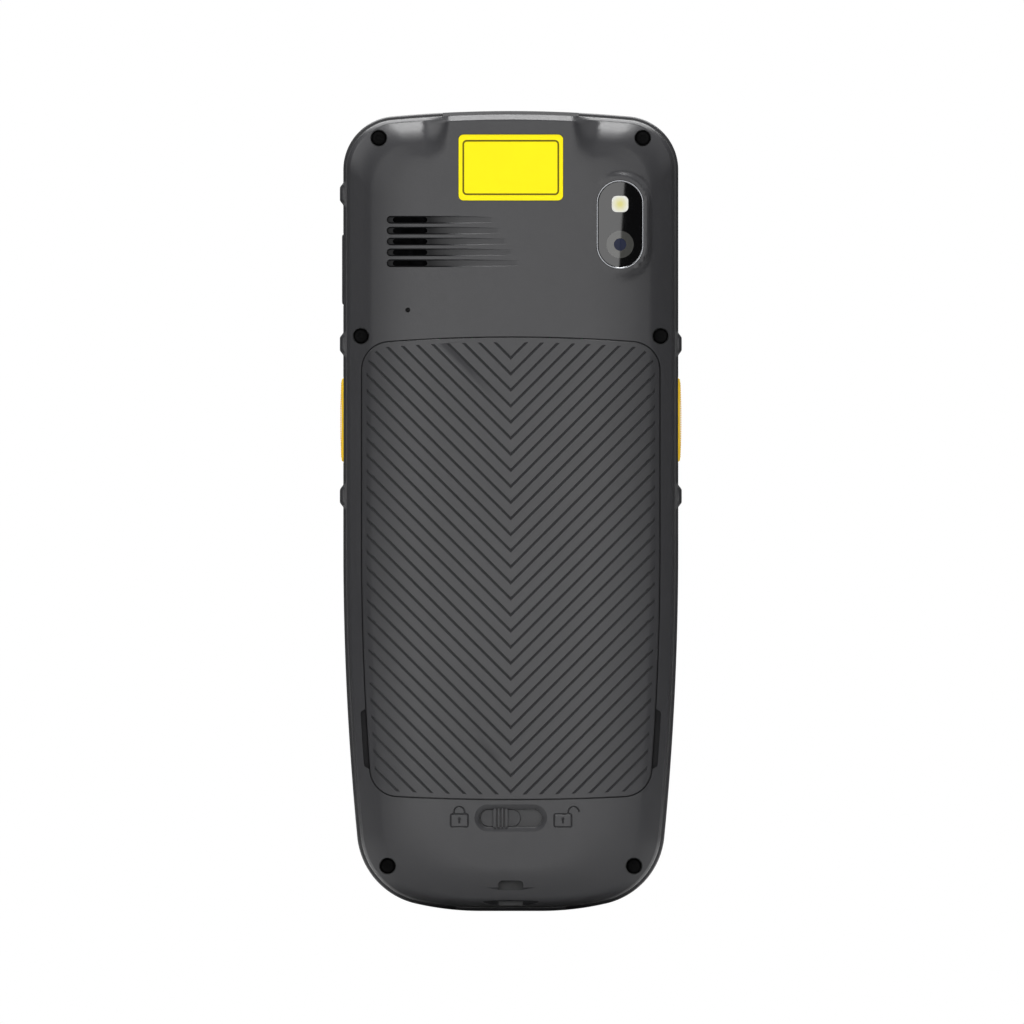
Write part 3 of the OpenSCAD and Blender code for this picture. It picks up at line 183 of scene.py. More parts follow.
def arc(c, r, a0, a1, steps):
    """Points along an arc, without its first point."""
    turns = [a0 + (a1 - a0) * i / steps for i in range(1, steps + 1)]
    return [(c.x + r * math.cos(a), c.y + r * math.sin(a)) for a in turns]


def right_edge(d):
    """Right-hand edge of the outline set in by d, from the foot up to the middle of the top."""
    foot_a, flank_a = angle_of(CORNER_C - FOOT_C), angle_of(CORNER_C - FLANK_C)
    shoulder_a = angle_of(SHOULDER_C - TOP_C)
    flat = [(2.0 * i, d) for i in range(4)]
    straight = [(HALF_W - d, WIDEST_Z + (SHOULDER_C.y - WIDEST_Z) * i / 80) for i in range(1, 81)]
    return (flat
            + arc(FOOT_C, FOOT_R - d, -math.pi / 2, foot_a, 14)
            + arc(CORNER_C, CORNER_R - d, foot_a, flank_a, 30)
            + arc(FLANK_C, FLANK_R - d, flank_a, 0, 18)
            + straight
            + arc(SHOULDER_C, SHOULDER_R - d, 0, shoulder_a, 30)
            + arc(TOP_C, TOP_R - d, shoulder_a, math.pi / 2, 44))


def outline(d):
    """Whole outline of the body set in by d."""
    right = right_edge(d)
    return right + [(-x, z) for x, z in right[-2:0:-1]]


def drawn_in(p, d, t):
    """Moves an outline point inwards by t, less at the two ends than at the flanks."""
    w, up, down = HALF_W - d, BODY_H - d - WIDEST_Z, WIDEST_Z - d
    near = min(max(t - TOP_FULL, 0.0), TOP_FADE)
    at_top = (min(t, TOP_FULL) + near - (1 - TOP_SHARE) * near ** 2 / (2 * TOP_FADE)
              + max(0.0, t - (TOP_FULL + TOP_FADE)) * TOP_SHARE)
    at_foot = min(t, FOOT_RUN) * FOOT_SHARE + max(0.0, t - FOOT_RUN) * BOTTOM_SHARE
    z = p[1] - WIDEST_Z
    return (p[0] * (w - t) / w,
            WIDEST_Z + z * (1 - at_top / up if z > 0 else 1 - at_foot / down))


def softened(points, reach):
    """Rounds the corners of an open line of (distance, depth) points."""
    steps, near_straight = 4, math.radians(4)
    out = [points[0]]
    for a, b, c in zip(points, points[1:], points[2:]):
        a, b, c = Vector(a), Vector(b), Vector(c)
        if (b - a).angle(c - b) < near_straight:
            out.append(tuple(b))
            continue
        r = min(reach, (a - b).length * 0.45, (c - b).length * 0.45)
        p, q = b + (a - b).normalized() * r, b + (c - b).normalized() * r
        for i in range(steps + 1):
            u = i / steps
            out.append(tuple((1 - u) ** 2 * p + 2 * u * (1 - u) * b + u * u * q))
    return out + [points[-1]]


def back_profile(fine):
    """Section of the back, as (distance in from the edge, depth behind the parting plane)."""
    line = [(0, 0), (0, FLANK_H), (FACET_T, FACET_DEPTH)]
    if not fine:
        return line + [(CROWN_T + CROWN_W * i / 8, CROWN_DEPTH - CROWN_DROP * (1 - i / 8) ** 2)
                       for i in range(9)]
    steps = 43
    for i in range(1, steps + 1):
        t = FACET_T + (CROWN_END - FACET_T) * i / steps
        facet = FACET_DEPTH + (t - FACET_T) * FACET_RISE / FACET_RUN
        crown = CROWN_DEPTH - CROWN_DROP * ((CROWN_END - t) / CROWN_W) ** 2
        blend = max(0.0, 1 - abs(facet - crown) / CROWN_BLEND)
        line.append((t, min(facet, crown) - CROWN_BLEND * blend ** 2 / 4))
    return softened(line, 0.7)


def smooth(u):
    """Eased step from 0 to 1."""
    u = max(0.0, min(1.0, u))
    return u * u * (3 - 2 * u)


def beside_camera(x, z):
    """Distance of a place from the edge of the camera's window."""
    r, half = CAMERA_SIZE[0] / 2, (CAMERA_SIZE[1] - CAMERA_SIZE[0]) / 2
    dz = max(0.0, abs(z - CAMERA[1]) - half)
    return math.hypot(x - CAMERA[0], dz) - r


def raised(x, y, z, edge):
    """Depth of the back once the brow and the camera's island have been raised out of it."""
    if z < WIDEST_Z or y >= PART_Y - 0.05:
        return y
    share = smooth((BROW_FOOT - abs(x)) / (BROW_FOOT - BROW_FLAT))
    y += (min(BACK_Y + max(0.0, BROW_CHAMFER - edge), y) - y) * share
    share = smooth((ISLAND_FOOT - beside_camera(x, z)) / (ISLAND_FOOT - ISLAND_FLAT))
    return y + (min(BACK_Y + 0.05, y) - y) * share


def back_rings(d, fine=True):
    """Rings of the back set in by d, from the parting plane, or past it when set in, to the crown."""
    inset = REAR_STEP + d
    base = outline(inset)
    rings = [[(x, PART_Y + (d + 1.0 if d else 0.0), z) for x, z in base]]
    for t, depth in back_profile(fine)[0 if d else 1:]:
        ring = []
        for p in base:
            x, z = drawn_in(p, inset, t)
            y = PART_Y - depth + d
            ring.append((x, raised(x, y, z, t) if fine and d < 1 else y, z))
        rings.append(ring)
    return rings


# ---- Meshes ----

def mesh_of(verts, faces):
    """Closed mesh in millimetres with its faces turned outwards."""
    mesh = bpy.data.meshes.new("shape")
    mesh.from_pydata([tuple(v) for v in verts], [], faces)
    bm = bmesh.new()
    bm.from_mesh(mesh)
    bmesh.ops.remove_doubles(bm, verts=bm.verts, dist=1e-5)
    bmesh.ops.dissolve_degenerate(bm, edges=bm.edges, dist=1e-6)
    bmesh.ops.recalc_face_normals(bm, faces=bm.faces)
    bm.to_mesh(mesh)
    bm.free()
    return mesh


def loft(rings, closed=False):
    """Skin over rings of points, with its ends filled, or joined when closed."""
    n, m = len(rings[0]), len(rings)
    verts = [p for r in rings for p in r]
    faces = []
    for k in range(m if closed else m - 1):
        a, b = k * n, (k + 1) % m * n
        faces += [(a + i, a + (i + 1) % n, b + (i + 1) % n, b + i) for i in range(n)]
    if not closed:
        faces += [tuple(range(n)), tuple(range((m - 1) * n, m * n))]
    return mesh_of(verts, faces)


def prism(points, y0, y1):
    """Flat shape in x and z, from depth y0 to depth y1."""
    return loft([[(x, y, z) for x, z in points] for y in (y0, y1)])


def block(a, b):
    """Box from one corner to the opposite one."""
    return prism([(a[0], a[2]), (b[0], a[2]), (b[0], b[2]), (a[0], b[2])], a[1], b[1])


def rounded(w, h, r, cx, cz, steps=8):
    """Rounded rectangle as a list of points."""
    out = []
    for sx, sz, a0 in ((1, 1, 0), (-1, 1, 90), (-1, -1, 180), (1, -1, 270)):
        for i in range(steps + 1):
            a = math.radians(a0 + 90 * i / steps)
            out.append((cx + sx * (w / 2 - r) + r * math.cos(a),
                        cz + sz * (h / 2 - r) + r * math.sin(a)))
    return out


def stadium(w, h, cx=0.0, cz=0.0, steps=12):
    """Slot shape with round ends as a list of points."""
    return rounded(w, h, min(w, h) / 2 - 1e-4, cx, cz, steps)


def circle(r, cx, cz, steps=48):
    """Circle as a list of points."""
    turns = [2 * math.pi * i / steps for i in range(steps)]
    return [(cx + r * math.cos(a), cz + r * math.sin(a)) for a in turns]


def stack(shape, levels):
    """Loft of one shape function at (growth, depth) levels."""
    return loft([[(x, y, z) for x, z in shape(g)] for g, y in levels])


def joined(meshes):
    """One mesh of several that don't touch each other."""
    bm = bmesh.new()
    for m in meshes:
        bm.from_mesh(m)
    out = bpy.data.meshes.new("joined")
    bm.to_mesh(out)
    bm.free()
    return out


def combined(base, others, way="DIFFERENCE"):
    """Base with each of the others cut from it, joined to it or used as its limit."""
    held = bpy.data.objects.new("held", base)
    bpy.context.scene.collection.objects.link(held)
    tools = []
    for mesh in others:
        tool = bpy.data.objects.new("tool", mesh)
        bpy.context.scene.collection.objects.link(tool)
        change = held.modifiers.new("change", "BOOLEAN")
        change.operation, change.solver, change.object = way, "MANIFOLD", tool
        tools.append(tool)
    dg = bpy.context.evaluated_depsgraph_get()
    out = bpy.data.meshes.new_from_object(held.evaluated_get(dg))
    out.materials.clear()
    for obj in tools + [held]:
        bpy.data.objects.remove(obj)
    if not out.polygons:
        raise RuntimeError("a cut left nothing of its piece")
    return out


def mirrored(mesh):
    """The same shape on the other side of the middle."""
    out = mesh.copy()
    out.transform(Matrix.Scale(-1, 4, (1, 0, 0)))
    out.flip_normals()
    return out


def both_sides(mesh):
    """A shape and its mirror image."""
    return [mesh, mirrored(mesh)]


def add_piece(name, mesh, body, materials, replaces=(), sharp=32.0, skin=None, tint=None):
    """Scales a mesh to metres and puts it in the scene on its body.

    With a skin, tint picks the material of each cut face from its middle and its depth below the skin.
    """
    mesh.name = name
    for m in materials:
        mesh.materials.append(m)
    for poly in mesh.polygons:
        poly.use_smooth = True
    mesh.set_sharp_from_angle(angle=math.radians(sharp))
    if skin:
        for poly in shaded_from(mesh, skin):
            poly.material_index = tint(poly.center, poly.center.y - skin.y(poly.center.x, poly.center.z))
    mesh.transform(Matrix.Scale(MM, 4))
    obj = bpy.data.objects.new(name, mesh)
    bpy.context.scene.collection.objects.link(obj)
    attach(obj, body)
    if replaces:
        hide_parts(*replaces)
    return obj


# ---- Shapes that follow the back ----

class Skin:
    """Smooth grid of the back: its solid, its depth at a place, and its own shading."""

    def __init__(self):
        self.rings = back_rings(0)
        grid = [[Vector(p) for p in r] for r in self.rings]
        n, m = len(grid[0]), len(grid)
        self.verts, self.normals, faces = [p for r in grid for p in r], [], []
        for k in range(m):
            for i in range(n):
                if k == m - 1:
                    self.normals.append(Vector((0, -1, 0)))
                    continue
                along = grid[k][(i + 1) % n] - grid[k][i - 1]
                across = grid[k + 1][i] - grid[max(0, k - 1)][i]
                self.normals.append(across.cross(along).normalized())
        for k in range(m - 1):
            faces += [(k * n + i, k * n + (i + 1) % n, (k + 1) * n + (i + 1) % n, (k + 1) * n + i)
                      for i in range(n)]
        self.cells = len(faces)
        faces.append(tuple((m - 1) * n + i for i in range(n)))
        if self.normals[n * 8].dot(self.verts[n * 8] - Vector((0, 0, 80))) < 0:
            self.normals = [-v for v in self.normals]
            for i in range((m - 1) * n, m * n):
                self.normals[i] = Vector((0, -1, 0))
        self.faces = faces
        self.tree = BVHTree.FromPolygons(self.verts, faces)

    def solid(self):
        """Closed solid under the skin, up to the parting plane."""
        return loft(self.rings)

    def y(self, x, z):
        """Depth of the skin at a place."""
        hit = self.tree.ray_cast(Vector((x, -40, z)), Vector((0, 1, 0)))[0]
        return hit.y if hit else PART_Y

    def normal(self, co, reach):
        """Smooth normal of the skin at a place on it, or None off the skin."""
        hit, _, index, _ = self.tree.find_nearest(co, reach)
        if hit is None:
            return None
        if index >= self.cells:
            return Vector((0, -1, 0))
        a, b, c, d = self.faces[index]
        va, vb, vc, vd = (self.verts[i] for i in (a, b, c, d))
        u = max(0.0, min(1.0, (hit - va).dot(vb - va) / max(1e-9, (vb - va).length_squared)))
        low, high = va.lerp(vb, u), vd.lerp(vc, u)
        v = max(0.0, min(1.0, (hit - low).dot(high - low) / max(1e-9, (high - low).length_squared)))
        n0 = self.normals[a].lerp(self.normals[b], u)
        n1 = self.normals[d].lerp(self.normals[c], u)
        return n0.lerp(n1, v).normalized()


def shaded_from(mesh, skin):
    """Gives what is left of the skin on a cut mesh its smooth shading, and lists the faces off it."""
    normals = [skin.normal(v.co, SKIN_REACH) for v in mesh.vertices]
    on_skin = []
    for poly in mesh.polygons:
        corners = [normals[i] for i in poly.vertices]
        on_skin.append(None not in corners
                       and all(poly.normal.dot(n) > SKIN_AGREES for n in corners))
    seen = {}
    for poly in mesh.polygons:
        for key in poly.edge_keys:
            seen.setdefault(key, set()).add(on_skin[poly.index])
    for edge in mesh.edges:
        if len(seen.get(edge.key, ())) > 1:
            edge.use_edge_sharp = True
    plain = [tuple(n.vector) for n in mesh.corner_normals]
    for poly in mesh.polygons:
        if on_skin[poly.index]:
            for i in poly.loop_indices:
                plain[i] = tuple(normals[mesh.loops[i].vertex_index])
    mesh.normals_split_custom_set(plain)
    return [poly for poly in mesh.polygons if not on_skin[poly.index]]


def swept(path, section, surface, closed):
    """Bar along a line of (x, z) points; its section is (offset sideways, depth below the surface)."""
    rings = []
    n = len(path)
    for i, p in enumerate(path):
        a = Vector(path[(i - 1) % n] if closed or i else path[0])
        c = Vector(path[(i + 1) % n] if closed or i < n - 1 else path[-1])
        b = Vector(p)
        u = (b - a).normalized() if (b - a).length > 1e-6 else (c - b).normalized()
        v = (c - b).normalized() if (c - b).length > 1e-6 else u
        side = (Vector((u.y, -u.x)) + Vector((v.y, -v.x))).normalized()
        grow = 1 / max(0.5, side.dot(Vector((u.y, -u.x))))
        y = surface.y(*p)
        rings.append([(b.x + side.x * s * grow, y + d, b.y + side.y * s * grow) for s, d in section])
    return loft(rings, closed)


def groove_section(w, depth, lip=0.08):
    """Section of a groove with softened lips."""
    over = GROOVE_OVER
    return [(-w / 2 - lip - over, -over), (-w / 2 - lip, 0.0), (-w / 2, lip), (-w / 2 * 0.8, depth),
            (w / 2 * 0.8, depth), (w / 2, lip), (w / 2 + lip, 0.0), (w / 2 + lip + over, -over)]


def chamfer_section(size, side):
    """Section that takes the corner off an edge; side is +1 where the metal lies outside the line."""
    return [(side * (size + 0.2), -0.2), (side * -0.3, size + 0.3), (side * -0.3, -0.2)]


def cover_edge(d):
    """Outline of the battery cover set in by d, with its rounded corners."""
    top_c, low_c = COVER_Z1 - COVER_TOP_R, COVER_Z0 + COVER_BOTTOM_R
    r = COVER_CORNER_R

    def side_x(z):
        """Half width of the cover at a height."""
        if z <= WIDEST_Z:
            return FLANK_C.x + math.sqrt((FLANK_R - COVER_INSET) ** 2 - (z - WIDEST_Z) ** 2)
        return HALF_W - COVER_INSET

    def corner(circle_c, circle_r, high):
        """Centre of the rounding that touches the long arc and the side."""
        z = COVER_Z1 - r if high else COVER_Z0 + r
        for _ in range(30):
            x = side_x(z) - r
            z = circle_c + (1 if high else -1) * math.sqrt((circle_r - r) ** 2 - x * x)
        return Vector((x, z))

    hi, lo = corner(top_c, COVER_TOP_R, True), corner(low_c, COVER_BOTTOM_R, False)
    hi_a = math.atan2(hi.y - top_c, hi.x)
    lo_a = math.atan2(lo.y - low_c, lo.x)
    side_a = math.atan2(lo.y - FLANK_C.y, lo.x - FLANK_C.x)
    right = ([(0.0, COVER_Z0 + d)]
             + arc(Vector((0, low_c)), COVER_BOTTOM_R - d, -math.pi / 2, lo_a, 12)
             + arc(lo, r - d, lo_a, side_a, 12)
             + arc(FLANK_C, FLANK_R - COVER_INSET - d, side_a, 0, 20)
             + [(HALF_W - COVER_INSET - d, WIDEST_Z + (hi.y - WIDEST_Z) * i / 18) for i in range(1, 19)]
             + arc(hi, r - d, 0, hi_a, 12)
             + arc(Vector((0, top_c)), COVER_TOP_R - d, hi_a, math.pi / 2, 12))
    return right + [(-x, z) for x, z in right[-2:0:-1]]


# Slots of the cut faces' finishes: the chevron, recess, seam and line slots hold painted shade
COVER_PLAIN, COVER_CHEVRON_SHADE = 0, 1
REAR_PLAIN, REAR_RECESS_SHADE, REAR_SEAM_SHADE, REAR_LINE_SHADE = 0, 1, 2, 3


def cover_tint(_place, below):
    """Finish of a cut face of the cover: the chevron grooves have their own, slightly darker and duller as
    painted shade.
    """
    return COVER_CHEVRON_SHADE if 0.03 < below < 0.45 else COVER_PLAIN


def rear_tint(place, below):
    """Finish of a cut face of the rear housing, with painted shade in the padlocks' lines, the cover's seam
    or a hollow.
    """
    if not 0.02 < below < 1.4 or 0.2 < beside_camera(place.x, place.z) < 3:
        return REAR_PLAIN
    if 7.9 < abs(place.x) < 15 and 15 < place.z < 22:
        return REAR_LINE_SHADE
    in_seam = abs(place.x) < 30.3 and COVER_Z0 - 0.6 < place.z < COVER_Z1 + 0.6
    return REAR_SEAM_SHADE if in_seam else REAR_RECESS_SHADE


def deep_skin(d, fine=False):
    """Solid inside the skin of the back, d below it and open to the front."""
    return loft(back_rings(d, fine))


def inside_of_rear():
    """Posts, the battery tub and the seats inside the rear housing."""
    tub_wall, post_r = 1.2, 2.6
    parts = [prism(rounded(BAY_W + 2 * tub_wall, BAY_H + 2 * tub_wall, 2.5, 0, BAY_Z), BACK_Y, BOARD_Y0)]
    for x, z in SCREWS:
        parts += [prism(circle(post_r, s * x, z), BACK_Y, PART_Y) for s in (-1, 1)]
    parts.append(block((-3.9, BACK_Y, 0), (3.9, -2.9, 7.7)))
    parts.append(block((-9.6, BACK_Y, 14.2), (9.6, KEEPER_Y, 15.4)))
    parts.append(prism(rounded(2 * KEEPER_SCREW_X, 6.4, 1, 0, LOCK_Z), BACK_Y, SLOT_FLOOR_Y + 0.6))
    parts += [prism(circle(2.1, s * KEEPER_SCREW_X, LOCK_Z), BACK_Y, KEEPER_Y) for s in (-1, 1)]
    parts.append(prism(rounded(10.8, 19.6, 2, *CAMERA), BACK_Y, -6.6))
    parts += [block((-24.7, BACK_Y, 127.3), (-14.5, -6.1, 140.5)),
              block((MIC[0] - 2.5, BACK_Y, MIC[1] - 2.1), (MIC[0] + 2.5, -6.3, MIC[1] + 2.1))]
    return parts


def lock_pocket():
    """Bevelled recess round the slot of the lock, with its lip rounded."""
    def shape(g):
        return stadium(SLOT_L + g, SLOT_W + g, 0, LOCK_Z, 16)
    return stack(shape, [(2.1, BACK_Y - 0.3), (1.9, BACK_Y - 0.01), (1.6, BACK_Y + 0.05),
                         (0.2, BACK_Y + 0.26), (0.06, BACK_Y + 0.32), (0, BACK_Y + 0.42),
                         (0, SLOT_FLOOR_Y)])


def speaker_groove(surface, z, run):
    """Groove that leads into a speaker slot and rises to the surface on its right."""
    x0, r, slot_end, deepest = SPEAKER_X0 - 0.45, 0.785, SPEAKER_X0 + SPEAKER_L, 1.25
    places = [(x0 - r * math.cos(a), r * max(0.02, math.sin(a))) for a in
              [math.pi / 2 * i / 8 for i in range(8)]]
    places += [(x0 + run * i / 40, r) for i in range(41)]
    rings = []
    for x, w in places:
        along = max(0.0, (x - slot_end) / (x0 + run - slot_end))
        depth = deepest * (math.exp(-3 * along) - math.exp(-3)) / (1 - math.exp(-3)) + 0.01
        top = surface.y(x, z)
        rings.append([(x, top + d, z + side) for side, d in
                      ((-w, -2.0), (-w, depth - 0.3), (-w * 0.9, depth - 0.12), (-w * 0.65, depth),
                       (w * 0.65, depth), (w * 0.9, depth - 0.12), (w, depth - 0.3), (w, -2.0))])
    return loft(rings)


def lock_cuts():
    """Recess, slot and chamber of the lock, and its keeper's seat."""
    floor = SLOT_FLOOR_Y + 0.6
    neck_x1 = NECK_X + NECK_W / 2 + LOCK_TRAVEL + SLIP
    return [lock_pocket(),
            block((-7.85, floor, 15.8), (8.05, PART_Y, 21.4)),
            block((NECK_X - NECK_W / 2 - SLIP, SLOT_FLOOR_Y - 0.01, LOCK_Z - NECK_H / 2 - SLIP),
                  (neck_x1, floor + 0.05, LOCK_Z + NECK_H / 2 + SLIP)),
            block((-9.8, KEEPER_Y, 14.8), (9.8, PART_Y, 23.0)),
            joined(both_sides(prism(circle(0.6, KEEPER_SCREW_X, LOCK_Z, 20), KEEPER_Y - 1.8, PART_Y)))]


def strap_cuts():
    """Two slots joined behind the strap bar, and the crescent hollows above and below the bar."""
    z0, z1 = STRAP_BAR_Z, STRAP_BAR_Z + STRAP_BAR_H
    half, back, bowl_r, lower_half = STRAP_W / 2, BACK_Y + 4.9, 18.2, 6.7
    low = z1 - 0.2
    section = [(BACK_Y - 1, low + 1.5), (BACK_Y, low + 1.5), (BACK_Y + 1.55, low - 0.6),
               (BACK_Y - 1, low - 0.6)]
    wedge = loft([[(x, y, z) for y, z in section] for x in (-bowl_r, bowl_r)])
    bowl = stack(lambda g: circle(bowl_r + g, 0, low + bowl_r, 360),
                 [(0.5, BACK_Y - 1), (0.1, BACK_Y + 0.6), (-0.45, BACK_Y + 1.2), (-0.7, BACK_Y + 2.0)])
    upper = combined(wedge, [bowl], "INTERSECT")
    # The lower hollow runs out shallower towards its two ends
    rings = []
    for x, rise, lift in ((-1, -0.2, 1.6), (-0.8, 0.0, 0.7), (-0.5, 0.12, 0.15), (0, 0.18, 0.0),
                          (0.5, 0.12, 0.15), (0.8, 0.0, 0.7), (1, -0.2, 1.6)):
        rings.append([(x * lower_half, y, z) for y, z in
                      ((BACK_Y - 1, z0 + rise), (BACK_Y + 2.9 - lift, z0 + rise),
                       (BACK_Y + 4.4 - lift, REAR_STEP - 0.4), (BACK_Y - 1, REAR_STEP - 0.4))])
    lower = loft(rings)
    arch = [p for p in rounded(STRAP_W, 2.0, 0.8, 0, z1 + 0.8) if p[1] > z1 + 0.8]
    slot = [(-half, z1 - 0.1), (half, z1 - 0.1)] + arch
    return [prism(slot, BACK_Y - 1, back), upper, lower,
            block((-half, BACK_Y - 1, z0 - 0.9), (half, back, z0)),
            block((-half, back - 1.4, z0 - 0.9), (half, back, z1 + 1.8))]


def padlock(x, z, is_open):
    """Lines of a small padlock symbol, as (points, section of the groove, closed)."""
    pen = groove_section(0.3, 0.22, 0.04)
    body = rounded(3.46, 2.6, 0.35, x, z)
    r, top, rise = 1.06, z + 1.3, 0.42
    cx = x + 2.15 if is_open else x
    arch = [(cx - r * math.cos(a), top + rise + r * math.sin(a)) for a in
            [math.pi * i / 14 for i in range(15)]]
    shackle = [(cx - r, top)] + arch + ([] if is_open else [(cx + r, top)])
    return [(body, pen, True), (shackle, pen, False), ([(x, z + 0.3), (x, z), (x, z - 0.6)], pen, False)]


def finger_notch():
    """Hollow beside the cover's edge that lets a fingernail in."""
    z0, z1 = NOTCH_Z
    steps, width, end_r = 24, 1.2, 0.9
    outer, inner = [], []
    for i in range(steps + 1):
        z = z0 + (z1 - z0) * i / steps
        edge = FLANK_C.x + math.sqrt((FLANK_R - COVER_INSET) ** 2 - (z - WIDEST_Z) ** 2)
        from_end = min(z - z0, z1 - z)
        round_off = end_r - math.sqrt(max(0.0, 0.81 - (end_r - min(end_r, from_end)) ** 2))
        outer.append((edge + width - round_off, z))
        inner.append((edge - 0.3, z))
    hollow = prism(outer + inner[::-1], BACK_Y - 1, -5.0)
    return combined(hollow, [deep_skin(0.95, True)])


# ---- Finishes ----

def linear(value):
    """Scene-linear value of a display value from 0 to 1."""
    return value / 12.92 if value <= 0.04045 else ((value + 0.055) / 1.055) ** 2.4


def rgb(r, g, b):
    """Colour given as 0 to 255 display values."""
    return (linear(r / 255), linear(g / 255), linear(b / 255), 1.0)


class Finish:
    """A procedural material that is put together node by node."""

    def __init__(self, name):
        self.mat = bpy.data.materials.new(name)
        self.mat.use_nodes = True
        self.tree = self.mat.node_tree
        self.shader = self.tree.nodes["Principled BSDF"]
        self.place = self.node("ShaderNodeTexCoord").outputs["Object"]

    def node(self, kind, **settings):
        """New node of a kind with its settings."""
        made = self.tree.nodes.new(kind)
        for key, value in settings.items():
            setattr(made, key, value)
        return made

    def link(self, source, target):
        self.tree.links.new(source, target)

    def noise(self, scale, detail=3.0, rough=0.55, stretch=None):
        """Noise over the piece, from 0 to 1, stretched along its axes where asked."""
        made = self.node("ShaderNodeTexNoise")
        made.inputs["Scale"].default_value = scale
        made.inputs["Detail"].default_value = detail
        made.inputs["Roughness"].default_value = rough
        place = self.place
        if stretch:
            scaled = self.node("ShaderNodeMapping")
            scaled.inputs["Scale"].default_value = stretch
            self.link(place, scaled.inputs["Vector"])
            place = scaled.outputs["Vector"]
        self.link(place, made.inputs["Vector"])
        return made.outputs["Fac"]

    def ramp(self, source, low, high, a=0.3, b=0.7):
        """Numbers or colours from low to high as the source goes from a to b."""
        if isinstance(low, tuple):
            return self.mixed(self.ramp(source, 0.0, 1.0, a, b), low, high)
        made = self.node("ShaderNodeMapRange")
        made.inputs["From Min"].default_value, made.inputs["From Max"].default_value = a, b
        made.inputs["To Min"].default_value, made.inputs["To Max"].default_value = low, high
        self.link(source, made.inputs["Value"])
        return made.outputs["Result"]

    def mixed(self, share, a, b):
        """Colour between a and b by a share from 0 to 1."""
        mix = self.node("ShaderNodeMix", data_type="RGBA")
        self.link(share, mix.inputs[0])
        for socket, value in ((mix.inputs[6], a), (mix.inputs[7], b)):
            if isinstance(value, tuple):
                socket.default_value = value
            else:
                self.link(value, socket)
        return mix.outputs[2]

    def bump(self, height, strength, distance):
        """Fine relief from a height of 0 to 1 over a distance in metres."""
        made = self.node("ShaderNodeBump")
        made.inputs["Strength"].default_value = strength
        made.inputs["Distance"].default_value = distance
        self.link(height, made.inputs["Height"])
        self.link(made.outputs["Normal"], self.shader.inputs["Normal"])

    def colour(self, source):
        self.put("Base Color", source)

    def put(self, socket, value):
        """Sets or links an input of the shader."""
        target = self.shader.inputs[socket]
        if isinstance(value, bpy.types.NodeSocket):
            self.link(value, target)
        else:
            target.default_value = value


def shade(colour, factor):
    """A colour made darker or lighter."""
    return tuple(c * factor for c in colour[:3]) + (1.0,)


def moulded(name, colour, rough=0.36, level=0.38, wear=0.0):
    """Spark-eroded moulded plastic: fine grain, uneven gloss and lightly rubbed edges."""
    f = Finish(name)
    cloud = f.noise(35.0, 4.0)
    fine = f.noise(GRAIN_SCALE, 2.0, 0.6)
    base = f.ramp(cloud, shade(colour, 0.95), shade(colour, 1.05))
    if wear:
        rounded_off = f.node("ShaderNodeBevel", samples=4)
        rounded_off.inputs["Radius"].default_value = 0.00012
        turn = f.node("ShaderNodeVectorMath", operation="DOT_PRODUCT")
        f.link(rounded_off.outputs["Normal"], turn.inputs[0])
        f.link(f.node("ShaderNodeNewGeometry").outputs["Normal"], turn.inputs[1])
        edge = f.ramp(turn.outputs["Value"], wear, 0.0, 0.8, 0.99)
        base = f.mixed(edge, base, shade(colour, 1.6))
    f.colour(base)
    rubbed = f.ramp(f.noise(22.0, 5.0, 0.65, (1, 1, 0.5)), -0.03, 0.03)
    total = f.node("ShaderNodeMath", operation="ADD")
    f.link(f.ramp(fine, rough - 0.04, rough + 0.04), total.inputs[0])
    f.link(rubbed, total.inputs[1])
    f.put("Roughness", total.outputs[0])
    f.put("Specular IOR Level", level)
    f.bump(fine, 0.25, GRAIN_H)
    return f.mat


def recess(name, colour):
    """Moulded plastic with painted shade: darker and duller with the depth of a hollow in the back, where
    shade falls.
    """
    f = Finish(name)
    apart = f.node("ShaderNodeSeparateXYZ")
    f.link(f.place, apart.inputs[0])
    # Painted shade: the colour goes down to 0.45 of the housing's and the gloss drops as the hollow gets
    # deeper
    painted_depth_shade = f.ramp(apart.outputs["Y"], 0.0, 1.0, (BACK_Y + 0.1) * MM, (BACK_Y + 1.3) * MM)
    f.colour(f.mixed(painted_depth_shade, colour, shade(colour, 0.45)))
    f.put("Specular IOR Level", f.ramp(painted_depth_shade, 0.36, 0.16, 0.0, 1.0))
    fine = f.noise(GRAIN_SCALE, 2.0, 0.6)
    f.put("Roughness", f.ramp(fine, 0.36, 0.44))
    f.bump(fine, 0.25, GRAIN_H)
    return f.mat


def rubbery(name, colour, rough=0.7, level=0.35):
    """Matt rubber or soft plastic with a fine grain."""
    f = Finish(name)
    fine = f.noise(4200.0, 2.0)
    f.colour(f.ramp(f.noise(60.0, 4.0), shade(colour, 0.9), shade(colour, 1.1)))
    f.put("Roughness", f.ramp(fine, rough - 0.06, rough + 0.08))
    f.put("Specular IOR Level", level)
    f.bump(fine, 0.4, 0.00002)
    return f.mat


def metal(name, colour, rough, brushed=None):
    """Metal with faint streaks, along an axis where it is brushed."""
    f = Finish(name)
    streak = f.noise(900.0, 3.0, 0.6, brushed or (1, 1, 1))
    f.colour(f.ramp(streak, shade(colour, 0.9), shade(colour, 1.05)))
    f.put("Metallic", 1.0)
    f.put("Roughness", f.ramp(streak, rough * 0.8, rough * 1.25))
    f.bump(streak, 0.2, 0.00001)
    return f.mat


def glossy(name, colour, rough=0.06, level=0.5, smears=0.05):
    """Hard polished surface with faint smears."""
    f = Finish(name)
    smear = f.noise(40.0, 5.0, 0.6, (1, 1, 0.4))
    f.colour(f.ramp(smear, shade(colour, 0.95), shade(colour, 1.05)))
    f.put("Roughness", f.ramp(smear, rough, rough + smears))
    f.put("Specular IOR Level", level)
    return f.mat


